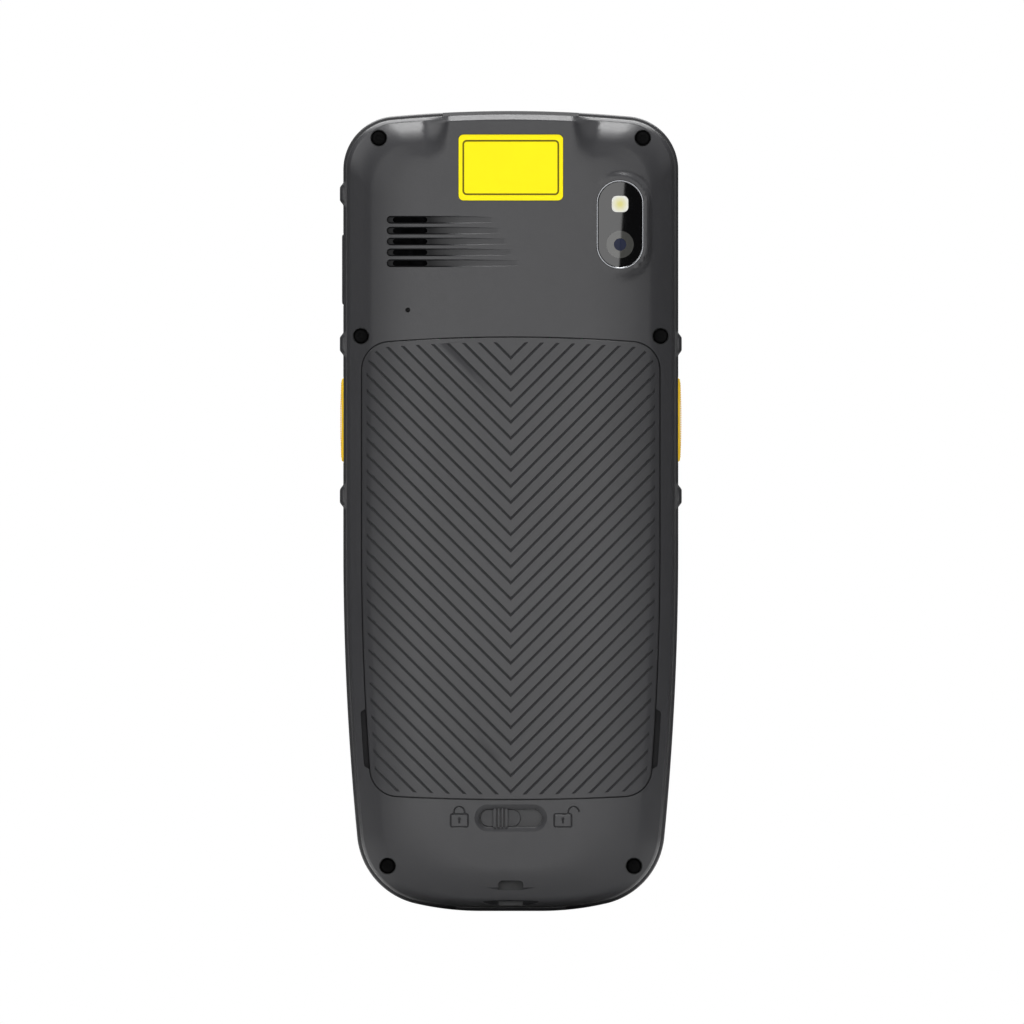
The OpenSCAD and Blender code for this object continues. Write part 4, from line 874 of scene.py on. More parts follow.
def frosted(name, edge, middle):
    """Frosted lens with the tint of its chip showing in the middle."""
    f = Finish(name)
    from_middle = f.node("ShaderNodeVectorMath", operation="DISTANCE")
    f.link(f.place, from_middle.inputs[0])
    from_middle.inputs[1].default_value = (CAMERA[0] * MM, (BACK_Y + 0.2) * MM, FLASH_Z * MM)
    f.colour(f.ramp(from_middle.outputs["Value"], middle, edge, 0.0003, 0.0017))
    f.put("Roughness", f.ramp(f.noise(3000.0), 0.1, 0.2))
    f.bump(f.noise(1800.0), 0.15, 0.00002)
    return f.mat


def circuit(name, colour):
    """Solder resist over copper tracks."""
    f = Finish(name)
    tracks = f.node("ShaderNodeTexBrick")
    tracks.inputs["Scale"].default_value = 380.0
    tracks.inputs["Mortar Size"].default_value = 0.08
    tracks.inputs["Color1"].default_value = colour
    tracks.inputs["Color2"].default_value = shade(colour, 1.15)
    tracks.inputs["Mortar"].default_value = shade(colour, 1.8)
    turned = f.node("ShaderNodeMapping")
    turned.inputs["Rotation"].default_value = (math.pi / 2, 0, 0)
    f.link(f.place, turned.inputs["Vector"])
    f.link(turned.outputs["Vector"], tracks.inputs["Vector"])
    f.colour(tracks.outputs["Color"])
    f.put("Roughness", f.ramp(f.noise(200.0), 0.3, 0.45))
    f.bump(tracks.outputs["Fac"], 0.3, 0.00003)
    return f.mat


_finishes = {}


def finish(name):
    """The material of that name, made on its first use."""
    if name in _finishes:
        return _finishes[name]
    c = bpy.context.scene.terminal_colours
    housing, cap, rubber = tuple(c.housing) + (1,), tuple(c.accent) + (1,), tuple(c.rubber) + (1,)
    makers = {
        "housing": lambda: moulded("housing_plastic", housing),
        "front": lambda: moulded("front_plastic", shade(housing, 0.9)),
        "cover": lambda: moulded("cover_plastic", housing),
        # Painted shade: darker, duller housing plastic in the hollows of the back
        "recess": lambda: recess("rear_recess_painted_shade", housing),
        # Painted shade: housing plastic at 0.8 in the padlocks' engraved grooves
        "line": lambda: moulded("engraved_line_painted_shade", shade(housing, 0.8), 0.6, level=0.25),
        # Painted shade: housing plastic at 0.45 for the faces of the cover's seam and the finger notches
        "groove": lambda: moulded("seam_painted_shade", shade(housing, 0.45), 0.6, level=0.12),
        # Painted shade: slightly darker, duller housing plastic inside the chevron grooves
        "chevron": lambda: moulded("chevron_groove_painted_shade", shade(housing, 0.95), 0.55, level=0.2),
        "ink": lambda: moulded("dark_ink", rgb(40, 38, 24), 0.5),
        "label_line": lambda: moulded("label_line", rgb(104, 94, 12), 0.5, level=0.1),
        "key": lambda: moulded("key_plastic", rgb(46, 46, 48), 0.42, wear=0.25),
        "key_yellow": lambda: moulded("yellow_key_plastic", cap, 0.4, wear=0.15),
        "key_red": lambda: moulded("red_key_plastic", rgb(150, 30, 26), 0.45),
        "print": lambda: moulded("key_print", rgb(225, 225, 222), 0.5),
        "trigger": lambda: moulded("trigger_plastic", cap, 0.45),
        "rubber": lambda: rubbery("side_rubber", rubber),
        "mat": lambda: rubbery("mat_rubber", rgb(70, 70, 74)),
        "seal": lambda: rubbery("seal_rubber", rgb(24, 24, 25)),
        "red_seal": lambda: rubbery("cover_seal_rubber", rgb(190, 60, 45)),
        "screw": lambda: rubbery("black_screw", rgb(9, 9, 10), 0.6, 0.1),
        "dark_steel": lambda: metal("blackened_steel", rgb(64, 64, 66), 0.45),
        "steel": lambda: metal("tinned_steel", rgb(118, 118, 122), 0.45, (1, 1, 12)),
        "trim": lambda: metal("trim_silver", rgb(132, 133, 136), 0.22, (1, 1, 6)),
        "brass": lambda: metal("insert_brass", rgb(190, 150, 80), 0.35),
        "gold": lambda: metal("contact_gold", rgb(214, 176, 92), 0.25),
        "mesh": lambda: metal("fine_mesh", rgb(12, 12, 13), 0.6),
        "glass": lambda: glossy("display_glass", rgb(8, 8, 10)),
        "panel": lambda: glossy("display_panel", rgb(22, 24, 28), 0.3),
        "camera": lambda: glossy("camera_glass", rgb(2, 2, 3), 0.0, 0.6, 0.01),
        "lens": lambda: glossy("lens_ring", rgb(62, 62, 60), 0.0, 0.6, 0.01),
        "lens_core": lambda: glossy("lens_core", rgb(12, 20, 46), 0.0, 0.12, 0.01),
        "flash": lambda: frosted("flash_lens", rgb(215, 215, 208), rgb(206, 200, 120)),
        "window": lambda: glossy("scan_window", rgb(62, 62, 64), 0.2),
        "inner": lambda: moulded("inner_plastic", rgb(30, 30, 32), 0.5),
        "lock": lambda: moulded("lock_plastic", rgb(52, 52, 54), 0.45),
        "label": lambda: glossy("label_film", tuple(c.label) + (1,), 0.45, 0.06),
        "battery": lambda: moulded("battery_shell", rgb(50, 52, 56), 0.4),
        "tab": lambda: rubbery("pull_tab", rgb(220, 220, 214), 0.6),
        "board": lambda: circuit("main_board", rgb(18, 74, 44)),
    }
    _finishes[name] = makers[name]()
    return _finishes[name]


# ---- Settings ----

class TerminalSizes(bpy.types.PropertyGroup):
    """Sizes of the details that a user may change."""

    groove_pitch: FloatProperty(
        name="Groove pitch", description="Distance between the chevron grooves along the cover",
        default=0.003214, min=0.0026, max=0.004, unit="LENGTH", subtype="DISTANCE", precision=6)
    groove_width: FloatProperty(
        name="Groove width", description="Width of a chevron groove",
        default=0.00036, min=0.0002, max=0.0006, unit="LENGTH", subtype="DISTANCE", precision=6)
    groove_depth: FloatProperty(
        name="Groove depth", description="Depth of a chevron groove",
        default=0.00035, min=0.0001, max=0.0004, unit="LENGTH", subtype="DISTANCE", precision=6)
    groove_border: FloatProperty(
        name="Groove border", description="Plain border round the grooves",
        default=0.00095, min=0.0005, max=0.002, unit="LENGTH", subtype="DISTANCE", precision=6)
    seam_bevel: FloatProperty(
        name="Seam bevel", description="Bevel on both sides of the cover's seam",
        default=0.00008, min=0.00004, max=0.0003, unit="LENGTH", subtype="DISTANCE", precision=6)
    key_dish: FloatProperty(
        name="Key dish", description="Depth of the dished top of a key",
        default=0.00018, min=0.0, max=0.0004, unit="LENGTH", subtype="DISTANCE", precision=6)
    knob_ribs: IntProperty(
        name="Knob ribs", description="Number of ribs on the lock's knob", default=4, min=3, max=6)


class TerminalColours(bpy.types.PropertyGroup):
    """Colours of the main finishes."""

    housing: FloatVectorProperty(
        name="Housing", description="Colour of both housings and the battery cover",
        default=rgb(49, 49, 51)[:3], subtype="COLOR", size=3, min=0, max=1)
    accent: FloatVectorProperty(
        name="Accent", description="Colour of the triggers and the scan key",
        default=rgb(236, 194, 34)[:3], subtype="COLOR", size=3, min=0, max=1)
    rubber: FloatVectorProperty(
        name="Rubber", description="Colour of the volume key",
        default=rgb(40, 40, 42)[:3], subtype="COLOR", size=3, min=0, max=1)
    label: FloatVectorProperty(
        name="Label", description="Colour of the label film",
        default=rgb(252, 234, 24)[:3], subtype="COLOR", size=3, min=0, max=1)
    floor: FloatVectorProperty(
        name="Floor", description="Colour of the floor",
        default=(0.58, 0.58, 0.58), subtype="COLOR", size=3, min=0, max=1)


class TerminalLight(bpy.types.PropertyGroup):
    """Lamps and camera of the stage."""

    view_width: FloatProperty(
        name="View width", description="Width that the camera takes in",
        default=0.2048, min=0.1, max=1.0, unit="LENGTH", subtype="DISTANCE", precision=5)
    top_power: FloatProperty(
        name="Top lamp", description="Power of the lamp over the terminal",
        default=7.9, min=0.0, max=60.0, unit="POWER", subtype="POWER")
    card_power: FloatProperty(
        name="Soft boxes", description="Power of each soft box behind the camera",
        default=6.5, min=0.0, max=60.0, unit="POWER", subtype="POWER")
    far_power: FloatProperty(
        name="Far lamp", description="Power of the raised lamp on the display's side",
        default=7.8, min=0.0, max=60.0, unit="POWER", subtype="POWER")
    side_power: FloatProperty(
        name="Side lamp", description="Power of the raised lamp on the left, its twin has a third of it",
        default=3.6, min=0.0, max=60.0, unit="POWER", subtype="POWER")
    ambient: FloatProperty(
        name="Ambient", description="Strength of the light from all round", default=0.3, min=0.0, max=1.0)


def sizes():
    return bpy.context.scene.terminal_sizes


# ---- Pieces ----

class TERMINAL_OT_rear_housing(bpy.types.Operator):
    """Builds the rear housing with its brow, camera island, recesses, slots and battery bay"""

    bl_idname = "terminal.rear_housing"
    bl_label = "Rear housing"

    def execute(self, context):
        bevel = sizes().seam_bevel / MM
        surface = Skin()
        inner = combined(deep_skin(WALL), [prism(cover_edge(-1.5), BACK_Y - 1, PART_Y + 2)])
        shell = combined(surface.solid(), [inner, deep_skin(3.0)])
        inside = []
        for part in inside_of_rear():
            inside.append(combined(part, [deep_skin(0.3, True)], "INTERSECT"))
        shell = combined(shell, inside, "UNION")

        # Battery cover: its seat with the seam's bevel, the bay, the ledge, and room for hooks and lug
        seat = combined(prism(cover_edge(-COVER_GAP), BACK_Y - 1, PART_Y),
                        [deep_skin(COVER_T + SLIP, True)])
        cuts = [seat, swept(cover_edge(-COVER_GAP), chamfer_section(bevel, 1), surface, True),
                prism(rounded(BAY_W, BAY_H, 1.3, 0, BAY_Z), BACK_Y - 1, BATTERY_Y1),
                block((-7.1, -5.3, 100), (7.1, BOARD_Y0 + 0.01, 104.4))]
        cuts += both_sides(block((HOOK_X[0] - 0.4, -7.6, 109.4), (HOOK_X[1] + 0.4, -4.8, 117.6)))
        cuts.append(block((-6.4, -7.6, 23.05), (6.4, -4.8, 25.75)))
        cuts += both_sides(finger_notch())
        cuts += lock_cuts() + strap_cuts()

        # Seats of the label and the camera
        label_w, label_h, label_z = LABEL
        cuts += [prism(rounded(label_w + 0.2, label_h + 0.2, 1.05, 0, label_z), BACK_Y - 1, -8.75),
                 prism(stadium(CAMERA_SIZE[0] + 0.1, CAMERA_SIZE[1] + 0.1, *CAMERA, 20), BACK_Y - 1, -8.1),
                 prism(circle(3.1, CAMERA[0], LENS_Z), BACK_Y, -6.59),
                 prism(rounded(3.8, 3.8, 0.3, CAMERA[0], FLASH_Z), BACK_Y, -6.59)]

        # Speaker slots with their grooves, the microphone's hole and the screw holes
        grooves, slots = [], []
        for i in range(5):
            z = SPEAKER_Z + (i - 2) * SPEAKER_PITCH
            slot = stadium(SPEAKER_L, SPEAKER_H, SPEAKER_X0 + SPEAKER_L / 2, z)
            slots.append(prism(slot, BACK_Y - 1, -6.09))
            grooves.append(speaker_groove(surface, z, 25.9 - i * 1.3))
        cuts += [joined(grooves), joined(slots), prism(circle(0.5, *MIC, 24), BACK_Y - 1, -6.29)]
        for x, z in SCREWS:
            cuts += both_sides(prism(circle(1.7, x, z, 40), BACK_Y - 1, SCREW_HEAD_Y))

        # Opening of the scan window, then the padlocks
        cuts += [block((-12.4, -6.8, 156.6), (12.4, 0, BODY_H)),
                 block((-13.7, -7.4, 158.3), (13.7, PART_Y + 1, 161))]
        marks = [swept(line, pen, surface, closed) for x, is_open in PADLOCKS
                 for line, pen, closed in padlock(x, PADLOCK_Z, is_open)]
        hole_z = PADLOCK_Z + 0.35
        marks += [prism(circle(0.32, x, hole_z, 20), BACK_Y - 1, surface.y(x, hole_z) + 0.2)
                  for x, _ in PADLOCKS]
        shell = combined(shell, cuts + marks)
        # Cut faces take painted shade: darker finishes in the hollows, the seam and the padlock lines
        add_piece("rear_housing_shell", shell, "root",
                  [finish("housing"), finish("recess"), finish("groove"), finish("line")],
                  ["rear_housing"], 30, surface, rear_tint)
        return {"FINISHED"}


class TERMINAL_OT_battery_cover(bpy.types.Operator):
    """Builds the crowned battery cover with its chevron grooves, hooks and lug"""

    bl_idname = "terminal.battery_cover"
    bl_label = "Battery cover"

    def chevrons(self, surface):
        """Groove bars from the lowest point of each chevron up to the border on both sides."""
        s = sizes()
        pitch, border = s.groove_pitch / MM, s.groove_border / MM
        section = groove_section(s.groove_width / MM, s.groove_depth / MM)
        bars = []
        limit = prism(cover_edge(border), BACK_Y - 2, PART_Y)
        count = int((COVER_Z1 - COVER_Z0 + HALF_W) / pitch) + 1
        low = min(Vector(p).y for p in cover_edge(border))
        reach = HALF_W - 2.5
        for k in range(count):
            tip = COVER_Z1 - GROOVE_START - k * pitch
            start = max(0.0, low - tip - 1.0)
            run = [start + (reach - start) * i / 16 for i in range(17)]
            if start > 0:
                sides = [[(x, tip + x) for x in run], [(-x, tip + x) for x in run]]
            else:
                sides = [[(-x, tip + x) for x in reversed(run)][:-1] + [(x, tip + x) for x in run]]
            bars += [swept(path, section, surface, False) for path in sides if len(path) > 2]
        return combined(joined(bars), [limit], "INTERSECT")

    def execute(self, context):
        bevel = sizes().seam_bevel / MM
        surface = Skin()
        plate = combined(surface.solid(), [prism(cover_edge(0), BACK_Y - 1, 0)], "INTERSECT")
        plate = combined(plate, [deep_skin(COVER_T, True)])
        lip = swept(cover_edge(0), chamfer_section(bevel, -1), surface, True)
        plate = combined(plate, [lip, self.chevrons(surface)])
        fittings = []
        for s in (1, -1):
            a, b = sorted((s * HOOK_X[0], s * HOOK_X[1]))
            nose = ((113.7, -7.1), (116.9, -7.1), (116.75, -6.7), (116.3, -6.35), (115.6, -6.1),
                    (114.8, -6.0), (113.7, -6.0))
            fittings.append(loft([[(x, y, z) for z, y in nose] for x in (a, b)]))
            fittings.append(block((a, -7.1, 110.7), (b, -6.1, 113.8)))
            fittings.append(block((a, -7.6, 110.7), (b, -6.9, 113.7)))
        fittings += [block((-6, -7.6, 23.65), (6, -3.1, 25.15)),
                     block((KNOB_X - 1.1, -4.0, 23.2), (KNOB_X + 1.1, -3.3, 23.85))]
        plate = combined(plate, fittings, "UNION")
        # The chevron grooves' faces take their slightly darker finish, a painted shade
        add_piece("battery_cover_plate", plate, "battery_cover",
                  [finish("cover"), finish("chevron")], ["battery_cover"], 30, surface, cover_tint)
        return {"FINISHED"}


def guard_ridge(z, side):
    """Rounded ridge on the flank that shields the side keys."""
    height, half_l, root_l, steps = 0.74, 2.5, 2.9, 12

    def plan(g):
        pts = [(HALF_W - 0.8, -root_l)]
        for i in range(-steps, steps + 1):
            u = i / steps
            rise = height * smooth((1 - abs(u)) / 0.55)
            pts.append((HALF_W - 0.05 + rise - g * (0.6 if rise > 0.3 else 0), u * (half_l - g * 0.4)))
        pts.append((HALF_W - 0.8, root_l))
        return [(side * x, z + dz) for x, dz in pts]

    return stack(plan, [(0.9, PART_Y + 0.02), (0.25, PART_Y + 0.25), (0, PART_Y + 0.7), (0, 4.4),
                        (0.3, 5.0), (0.9, 5.4)])


class TERMINAL_OT_front_housing(bpy.types.Operator):
    """Builds the front housing with its rolled edge, display rim, guards and key holes"""

    bl_idname = "terminal.front_housing"
    bl_label = "Front housing"

    def execute(self, context):
        # Body from its rolled back edge to its rolled front edge
        edge = [(d, PART_Y + y) for d, y in
                ((REAR_STEP, 0), (0.5, 0.02), (0.25, 0.14), (0.08, 0.4), (0, 0.8))]
        roll_w, roll_h = 2.4, 2.8
        for i in range(9):
            a = math.pi / 2 * i / 8
            edge.append((roll_w * (1 - math.cos(a)), FACE_Y - roll_h * (1 - math.sin(a))))
        body = loft([[(x, y, z) for x, z in outline(d)] for d, y in edge])

        def rim(g):
            return rounded(GLASS_W + g, GLASS_H + g, GLASS_R + g / 2, 0, GLASS_Z, 10)

        # Display rim, guards, and the lip that wraps under the rear housing at the foot
        adds = [stack(rim, [(3.3, 7.5), (3.2, 8.25), (2.9, 8.6), (2.6, 8.8), (2.1, 8.95), (1.4, FRONT_Y)])]
        adds += [guard_ridge(z, s) for z in GUARD_Z for s in (1, -1)] + [guard_ridge(VOLUME_GUARD_Z, -1)]
        lip = loft([[(x, y, z) for x, z in outline(d)] for y, d in
                    ((-3.4, 0.62), (-3.3, 0.46), (-3.0, 0.26), (-2.4, 0.1), (-1.6, 0.02), (-1.2, 0),
                     (PART_Y + 0.2, 0))])
        lip = combined(lip, [prism(outline(REAR_STEP), -4, 2)])
        adds.append(combined(lip, [block((-11, -4, -1), (11, 2, 3.7))], "INTERSECT"))
        body = combined(body, adds, "UNION")

        # Hollow inside, with the frame of the glass and the rib round the keypad
        body = combined(body, [prism(outline(WALL), PART_Y - 0.01, KEY_WALL_Y)])
        frame_ring = stack(rim, [(3, 6.2), (3, 8.1)])
        rib = combined(prism(rounded(54.6, 39.2, 1.2, 0, 31.85), 5.3, 7.1),
                       [prism(rounded(52.6, 38.0, 0.6, 0, 31.85), 5, 7.2)])
        body = combined(body, [frame_ring, rib], "UNION")

        # Seat of the glass, earpiece slot, key holes, side key holes and the mouth of the USB port
        cuts = [stack(rim, [(0.2, GLASS_Y0), (0.2, 8.75), (0.75, 9.3)]),
                block((-27.5, 5, 60.1), (27.5, 7.3, 149.9)),
                prism(stadium(9, 1, 0, 156.3), 6.9, 9)]
        for x, z, w in key_places():
            hole = stack(lambda g: rounded(w + g, KEY_H + g, 1.3 + g / 2, x, z),
                         [(0.3, KEY_WALL_Y - 0.05), (0.3, FACE_Y - 0.15), (0.75, FACE_Y + 0.2)])
            cuts.append(hole)
        for z, l, s in ((TRIGGER_Z, TRIGGER_L, 1), (TRIGGER_Z, TRIGGER_L, -1), (VOLUME_Z, VOLUME_L, -1)):
            a, b = sorted((s * 30.5, s * 35.0))
            cuts.append(block((a, SIDE_KEY_Y[0] - SLIP, z - l / 2 - SLIP),
                              (b, SIDE_KEY_Y[1] + SLIP, z + l / 2 + SLIP)))
        mouth = [(x, USB_Y + y) for x, y in stadium(USB_W + 0.3, USB_H + 0.2)]
        cuts.append(loft([[(x, y, z) for x, y in mouth] for z in (-1, 3)]))
        body = combined(body, cuts)
        add_piece("front_housing_shell", body, "root", [finish("front")],
                  ["front_housing"], 30)
        return {"FINISHED"}


def key_places():
    """Middle and width of every key, in the order of KEY_NAMES."""
    top = [(-EDGE_KEY_X, TOP_ROW_Z, EDGE_KEY_W), (0, TOP_ROW_Z, SCAN_KEY_W),
           (EDGE_KEY_X, TOP_ROW_Z, EDGE_KEY_W)]
    return top + [(c * KEY_PITCH_X, KEYPAD_Z + r * KEY_PITCH_Z, KEY_W)
                  for r in (3, 2, 1, 0) for c in (-1, 0, 1)]


KEY_NAMES = ["menu", "scan", "power", "1", "2", "3", "4", "5", "6", "7", "8", "9", "clear", "0", "enter"]

# Digit printed on a key where it isn't the key's own: the rows read from the display's side
READ_ORDER = {"1": "3", "3": "1", "4": "6", "6": "4", "7": "9", "9": "7"}


def strokes(lines, w):
    """Flat bars, as lists of corner points, along (x, z) lines."""
    out = []
    for a, b in lines:
        a, b = Vector(a), Vector(b)
        u = (b - a).normalized()
        n = Vector((-u.y, u.x)) * w / 2
        u = u * w * 0.3
        out.append([a - u - n, b + u - n, b + u + n, a - u + n])
    return out


def symbol(name):
    """Bars that draw a generic key symbol about its middle, in millimetres."""
    if name == "menu":
        return strokes([((-1.3, z), (1.3, z)) for z in (-0.9, 0, 0.9)], 0.32)
    if name == "scan":
        return [[Vector((x, -1.3)), Vector((x + w, -1.3)), Vector((x + w, 1.3)), Vector((x, 1.3))]
                for x, w in ((-2.6, 0.4), (-1.9, 0.2), (-1.4, 0.6), (-0.5, 0.2), (0.0, 0.4), (0.7, 0.2),
                             (1.2, 0.6), (2.1, 0.25))]
    if name == "power":
        turns = [math.radians(125 + 290 * i / 14) for i in range(15)]
        ring = [(1.15 * math.cos(a), 1.15 * math.sin(a)) for a in turns]
        return strokes(list(zip(ring, ring[1:])) + [((0, 0.3), (0, 1.4))], 0.3)
    if name == "clear":
        return strokes([((-1.6, 0), (1.6, 0)), ((-1.6, 0), (-0.6, 0.9)), ((-1.6, 0), (-0.6, -0.9))], 0.32)
    # Enter
    return strokes([((1.5, 1.0), (1.5, -0.3)), ((1.5, -0.3), (-1.5, -0.3)), ((-1.5, -0.3), (-0.7, 0.5)),
                    ((-1.5, -0.3), (-0.7, -1.1))], 0.32)


def digit_mesh(text):
    """A plain digit as a flat mesh in x and z, about its middle."""
    curve = bpy.data.curves.new("digit", "FONT")
    curve.body, curve.size, curve.align_x, curve.align_y = text, 3.6, "CENTER", "CENTER"
    curve.resolution_u = 3
    held = bpy.data.objects.new("digit", curve)
    bpy.context.scene.collection.objects.link(held)
    dg = bpy.context.evaluated_depsgraph_get()
    mesh = bpy.data.meshes.new_from_object(held.evaluated_get(dg))
    bpy.data.objects.remove(held)
    mesh.transform(Matrix.Rotation(math.pi / 2, 4, "X") @ Matrix.Scale(-1, 4, (1, 0, 0)))
    return mesh


class TERMINAL_OT_keypad(bpy.types.Operator):
    """Builds the fifteen dished key caps with their plain digits and symbols"""

    bl_idname = "terminal.keypad"
    bl_label = "Keypad"

    def cap(self, x, z, w):
        """Dished cap on its flange, with the post that presses the dome."""
        dish = sizes().key_dish / MM

        def shape(g):
            return rounded(w + g, KEY_H + g, max(0.3, 1.2 + g / 2), x, z, 6)

        flange = stack(shape, [(1, 6.35), (1, 6.85)])
        top = stack(shape, [(0, 6.8), (0, 8.4), (-0.12, 8.6), (-0.4, 8.76), (-0.8, 8.86), (-1.3, KEY_Y1),
                            (-2.2, KEY_Y1 - 0.02), (-3.4, KEY_Y1 - dish * 0.7), (-4.6, KEY_Y1 - dish)])
        post = prism(circle(1.5, x, z, 24), 6.2, 6.9)
        return combined(flange, [top, post], "UNION")

    def execute(self, context):
        dish = sizes().key_dish / MM
        for name, (x, z, w) in zip(KEY_NAMES, key_places()):
            cap = self.cap(x, z, w)
            marks = bmesh.new()
            marks.from_mesh(cap)
            for face in marks.faces:
                face.material_index = 0
            y = KEY_Y1 - dish + 0.012
            before = len(marks.faces)
            shown = READ_ORDER.get(name, name)
            if name.isdigit():
                flat = digit_mesh(shown)
                flat.transform(Matrix.Translation((x, y, z)))
                marks.from_mesh(flat)
            else:
                for bar in symbol(name):
                    corners = [marks.verts.new((x - p.x, y, z + p.y)) for p in bar]
                    marks.faces.new(corners)
            marks.faces.ensure_lookup_table()
            for face in marks.faces[before:]:
                face.material_index = 1
                face.normal_update()
                if face.normal.y < 0:
                    face.normal_flip()
            mesh = bpy.data.meshes.new("cap")
            marks.to_mesh(mesh)
            marks.free()
            tint = {"scan": "key_yellow", "power": "key_red"}.get(name, "key")
            ink = finish("ink") if name == "scan" else finish("print")
            add_piece("key_cap_" + shown, mesh, "key_" + name, [finish(tint), ink], ["key_" + name])
        return {"FINISHED"}


class TERMINAL_OT_side_keys(bpy.types.Operator):
    """Builds the two dotted triggers and the volume key"""

    bl_idname = "terminal.side_keys"
    bl_label = "Side keys"

    def cap(self, z, length, proud, sink=0.0):
        """Key cap with rounded edges and a crowned face, on its flange."""
        y0, y1 = SIDE_KEY_Y
        x1 = HALF_W + proud
        rings = []
        for grow, x in ((0.0, 31.3 - sink), (0.0, x1 - 0.55), (-0.1, x1 - 0.3), (-0.3, x1 - 0.12),
                        (-0.6, x1 - 0.04), (-1.1, x1)):
            ring = []
            corner_r = max(0.2, 0.6 + grow / 2)
            for pz, py in rounded(length + grow, y1 - y0 + grow, corner_r, 0, (y0 + y1) / 2, 6):
                sag = pz * pz / SIDE_KEY_CROWN if x > x1 - 0.6 else 0
                ring.append((x - sag, py, z + pz))
            rings.append(ring)
        body = loft(rings)
        flange_x, flange = 31.5 - sink, 0.9
        lower = (flange_x - flange, y0, z - length / 2 - flange)
        return combined(body, [block(lower, (flange_x, y1, z + length / 2 + flange))], "UNION")

    def dots(self, z, length, x1):
        """Small round pips in rows over the face of a trigger."""
        bm = bmesh.new()
        rows, cols, row_pitch, radius = 4, 17, 0.95, 0.22
        run = length - 2.2
        flat = Matrix.Diagonal((0.5, 1, 1, 1))
        for r in range(rows):
            for c in range(cols):
                pz = (c - (cols - 1) / 2) * run / (cols - 1)
                if r % 2:
                    pz += run / (cols - 1) / 2
                py = sum(SIDE_KEY_Y) / 2 + (r - (rows - 1) / 2) * row_pitch
                if abs(pz) > length / 2 - 0.9:
                    continue
                place = Matrix.Translation((x1 - pz * pz / SIDE_KEY_CROWN - 0.03, py, z + pz))
                bmesh.ops.create_uvsphere(bm, u_segments=10, v_segments=6, radius=radius,
                                          matrix=place @ flat)
        mesh = bpy.data.meshes.new("dots")
        bm.to_mesh(mesh)
        bm.free()
        return mesh

    def execute(self, context):
        trigger = joined([self.cap(TRIGGER_Z, TRIGGER_L, TRIGGER_PROUD),
                          self.dots(TRIGGER_Z, TRIGGER_L, HALF_W + TRIGGER_PROUD)])
        for side, cap in zip(("right", "left"), both_sides(trigger)):
            add_piece("trigger_%s_cap" % side, cap, "trigger_" + side, [finish("trigger")],
                      ["trigger_" + side], 40)
        rocker = mirrored(self.cap(VOLUME_Z, VOLUME_L, VOLUME_PROUD, ROCK_ROOM))
        add_piece("volume_key_cap", rocker, "volume_key", [finish("rubber")],
                  ["volume_key"], 40)
        return {"FINISHED"}


class TERMINAL_OT_lock(bpy.types.Operator):
    """Builds the lock slide with its ribbed knob and catch foot"""

    bl_idname = "terminal.lock"
    bl_label = "Lock slide"

    def execute(self, context):
        def plate(g):
            return stadium(SLIDE_L + g, SLOT_W - 0.2 + g, KNOB_X, LOCK_Z, 14)

        def knob(g):
            return rounded(3.0 + g, SLOT_W + 0.28 + g, 0.4, KNOB_X, LOCK_Z, 5)

        def foot(g):
            return rounded(10.4 + g, 5.2 + g, 1.4, KNOB_X, LOCK_Z)

        floor = SLOT_FLOOR_Y
        neck_half, neck_h = NECK_W / 2, NECK_H / 2
        catch_half, catch_z, catch_y = 1.7, (19.0, 20.8, 22.55), (-6.15, -5.0, -3.8)
        parts = [stack(foot, [(0, -6.65), (0, -6.1)]),
                 block((NECK_X - neck_half, floor - 0.1, LOCK_Z - neck_h),
                       (NECK_X + neck_half, -6.55, LOCK_Z + neck_h)),
                 stack(knob, [(-0.38, -8.1), (-0.38, -8.74), (-0.1, -8.8), (0, -8.83), (0, -8.86),
                              (-0.1, -8.93), (-0.25, -8.95)]),
                 block((KNOB_X - catch_half, catch_y[0], catch_z[0]),
                       (KNOB_X + catch_half, catch_y[2], catch_z[1])),
                 block((KNOB_X - catch_half, catch_y[1], catch_z[0]),
                       (KNOB_X + catch_half, catch_y[2], catch_z[2]))]
        slide = combined(stack(plate, [(0, floor - 0.05), (0, -8.05), (-0.15, -8.2)]), parts, "UNION")
        ribs, knob_l = sizes().knob_ribs, 3.0
        grooves = []
        for i in range(ribs - 1):
            x = KNOB_X + (i - (ribs - 2) / 2) * knob_l / ribs
            grooves.append(loft([[(x - 0.21, -9.2, z), (x + 0.21, -9.2, z), (x + 0.13, -8.3, z),
                                  (x - 0.13, -8.3, z)] for z in (LOCK_Z - 3, LOCK_Z + 3)]))
        slide = combined(slide, grooves)
        add_piece("lock_slide_knob", slide, "lock_slide", [finish("lock")],
                  ["lock_slide"], 30)
        return {"FINISHED"}


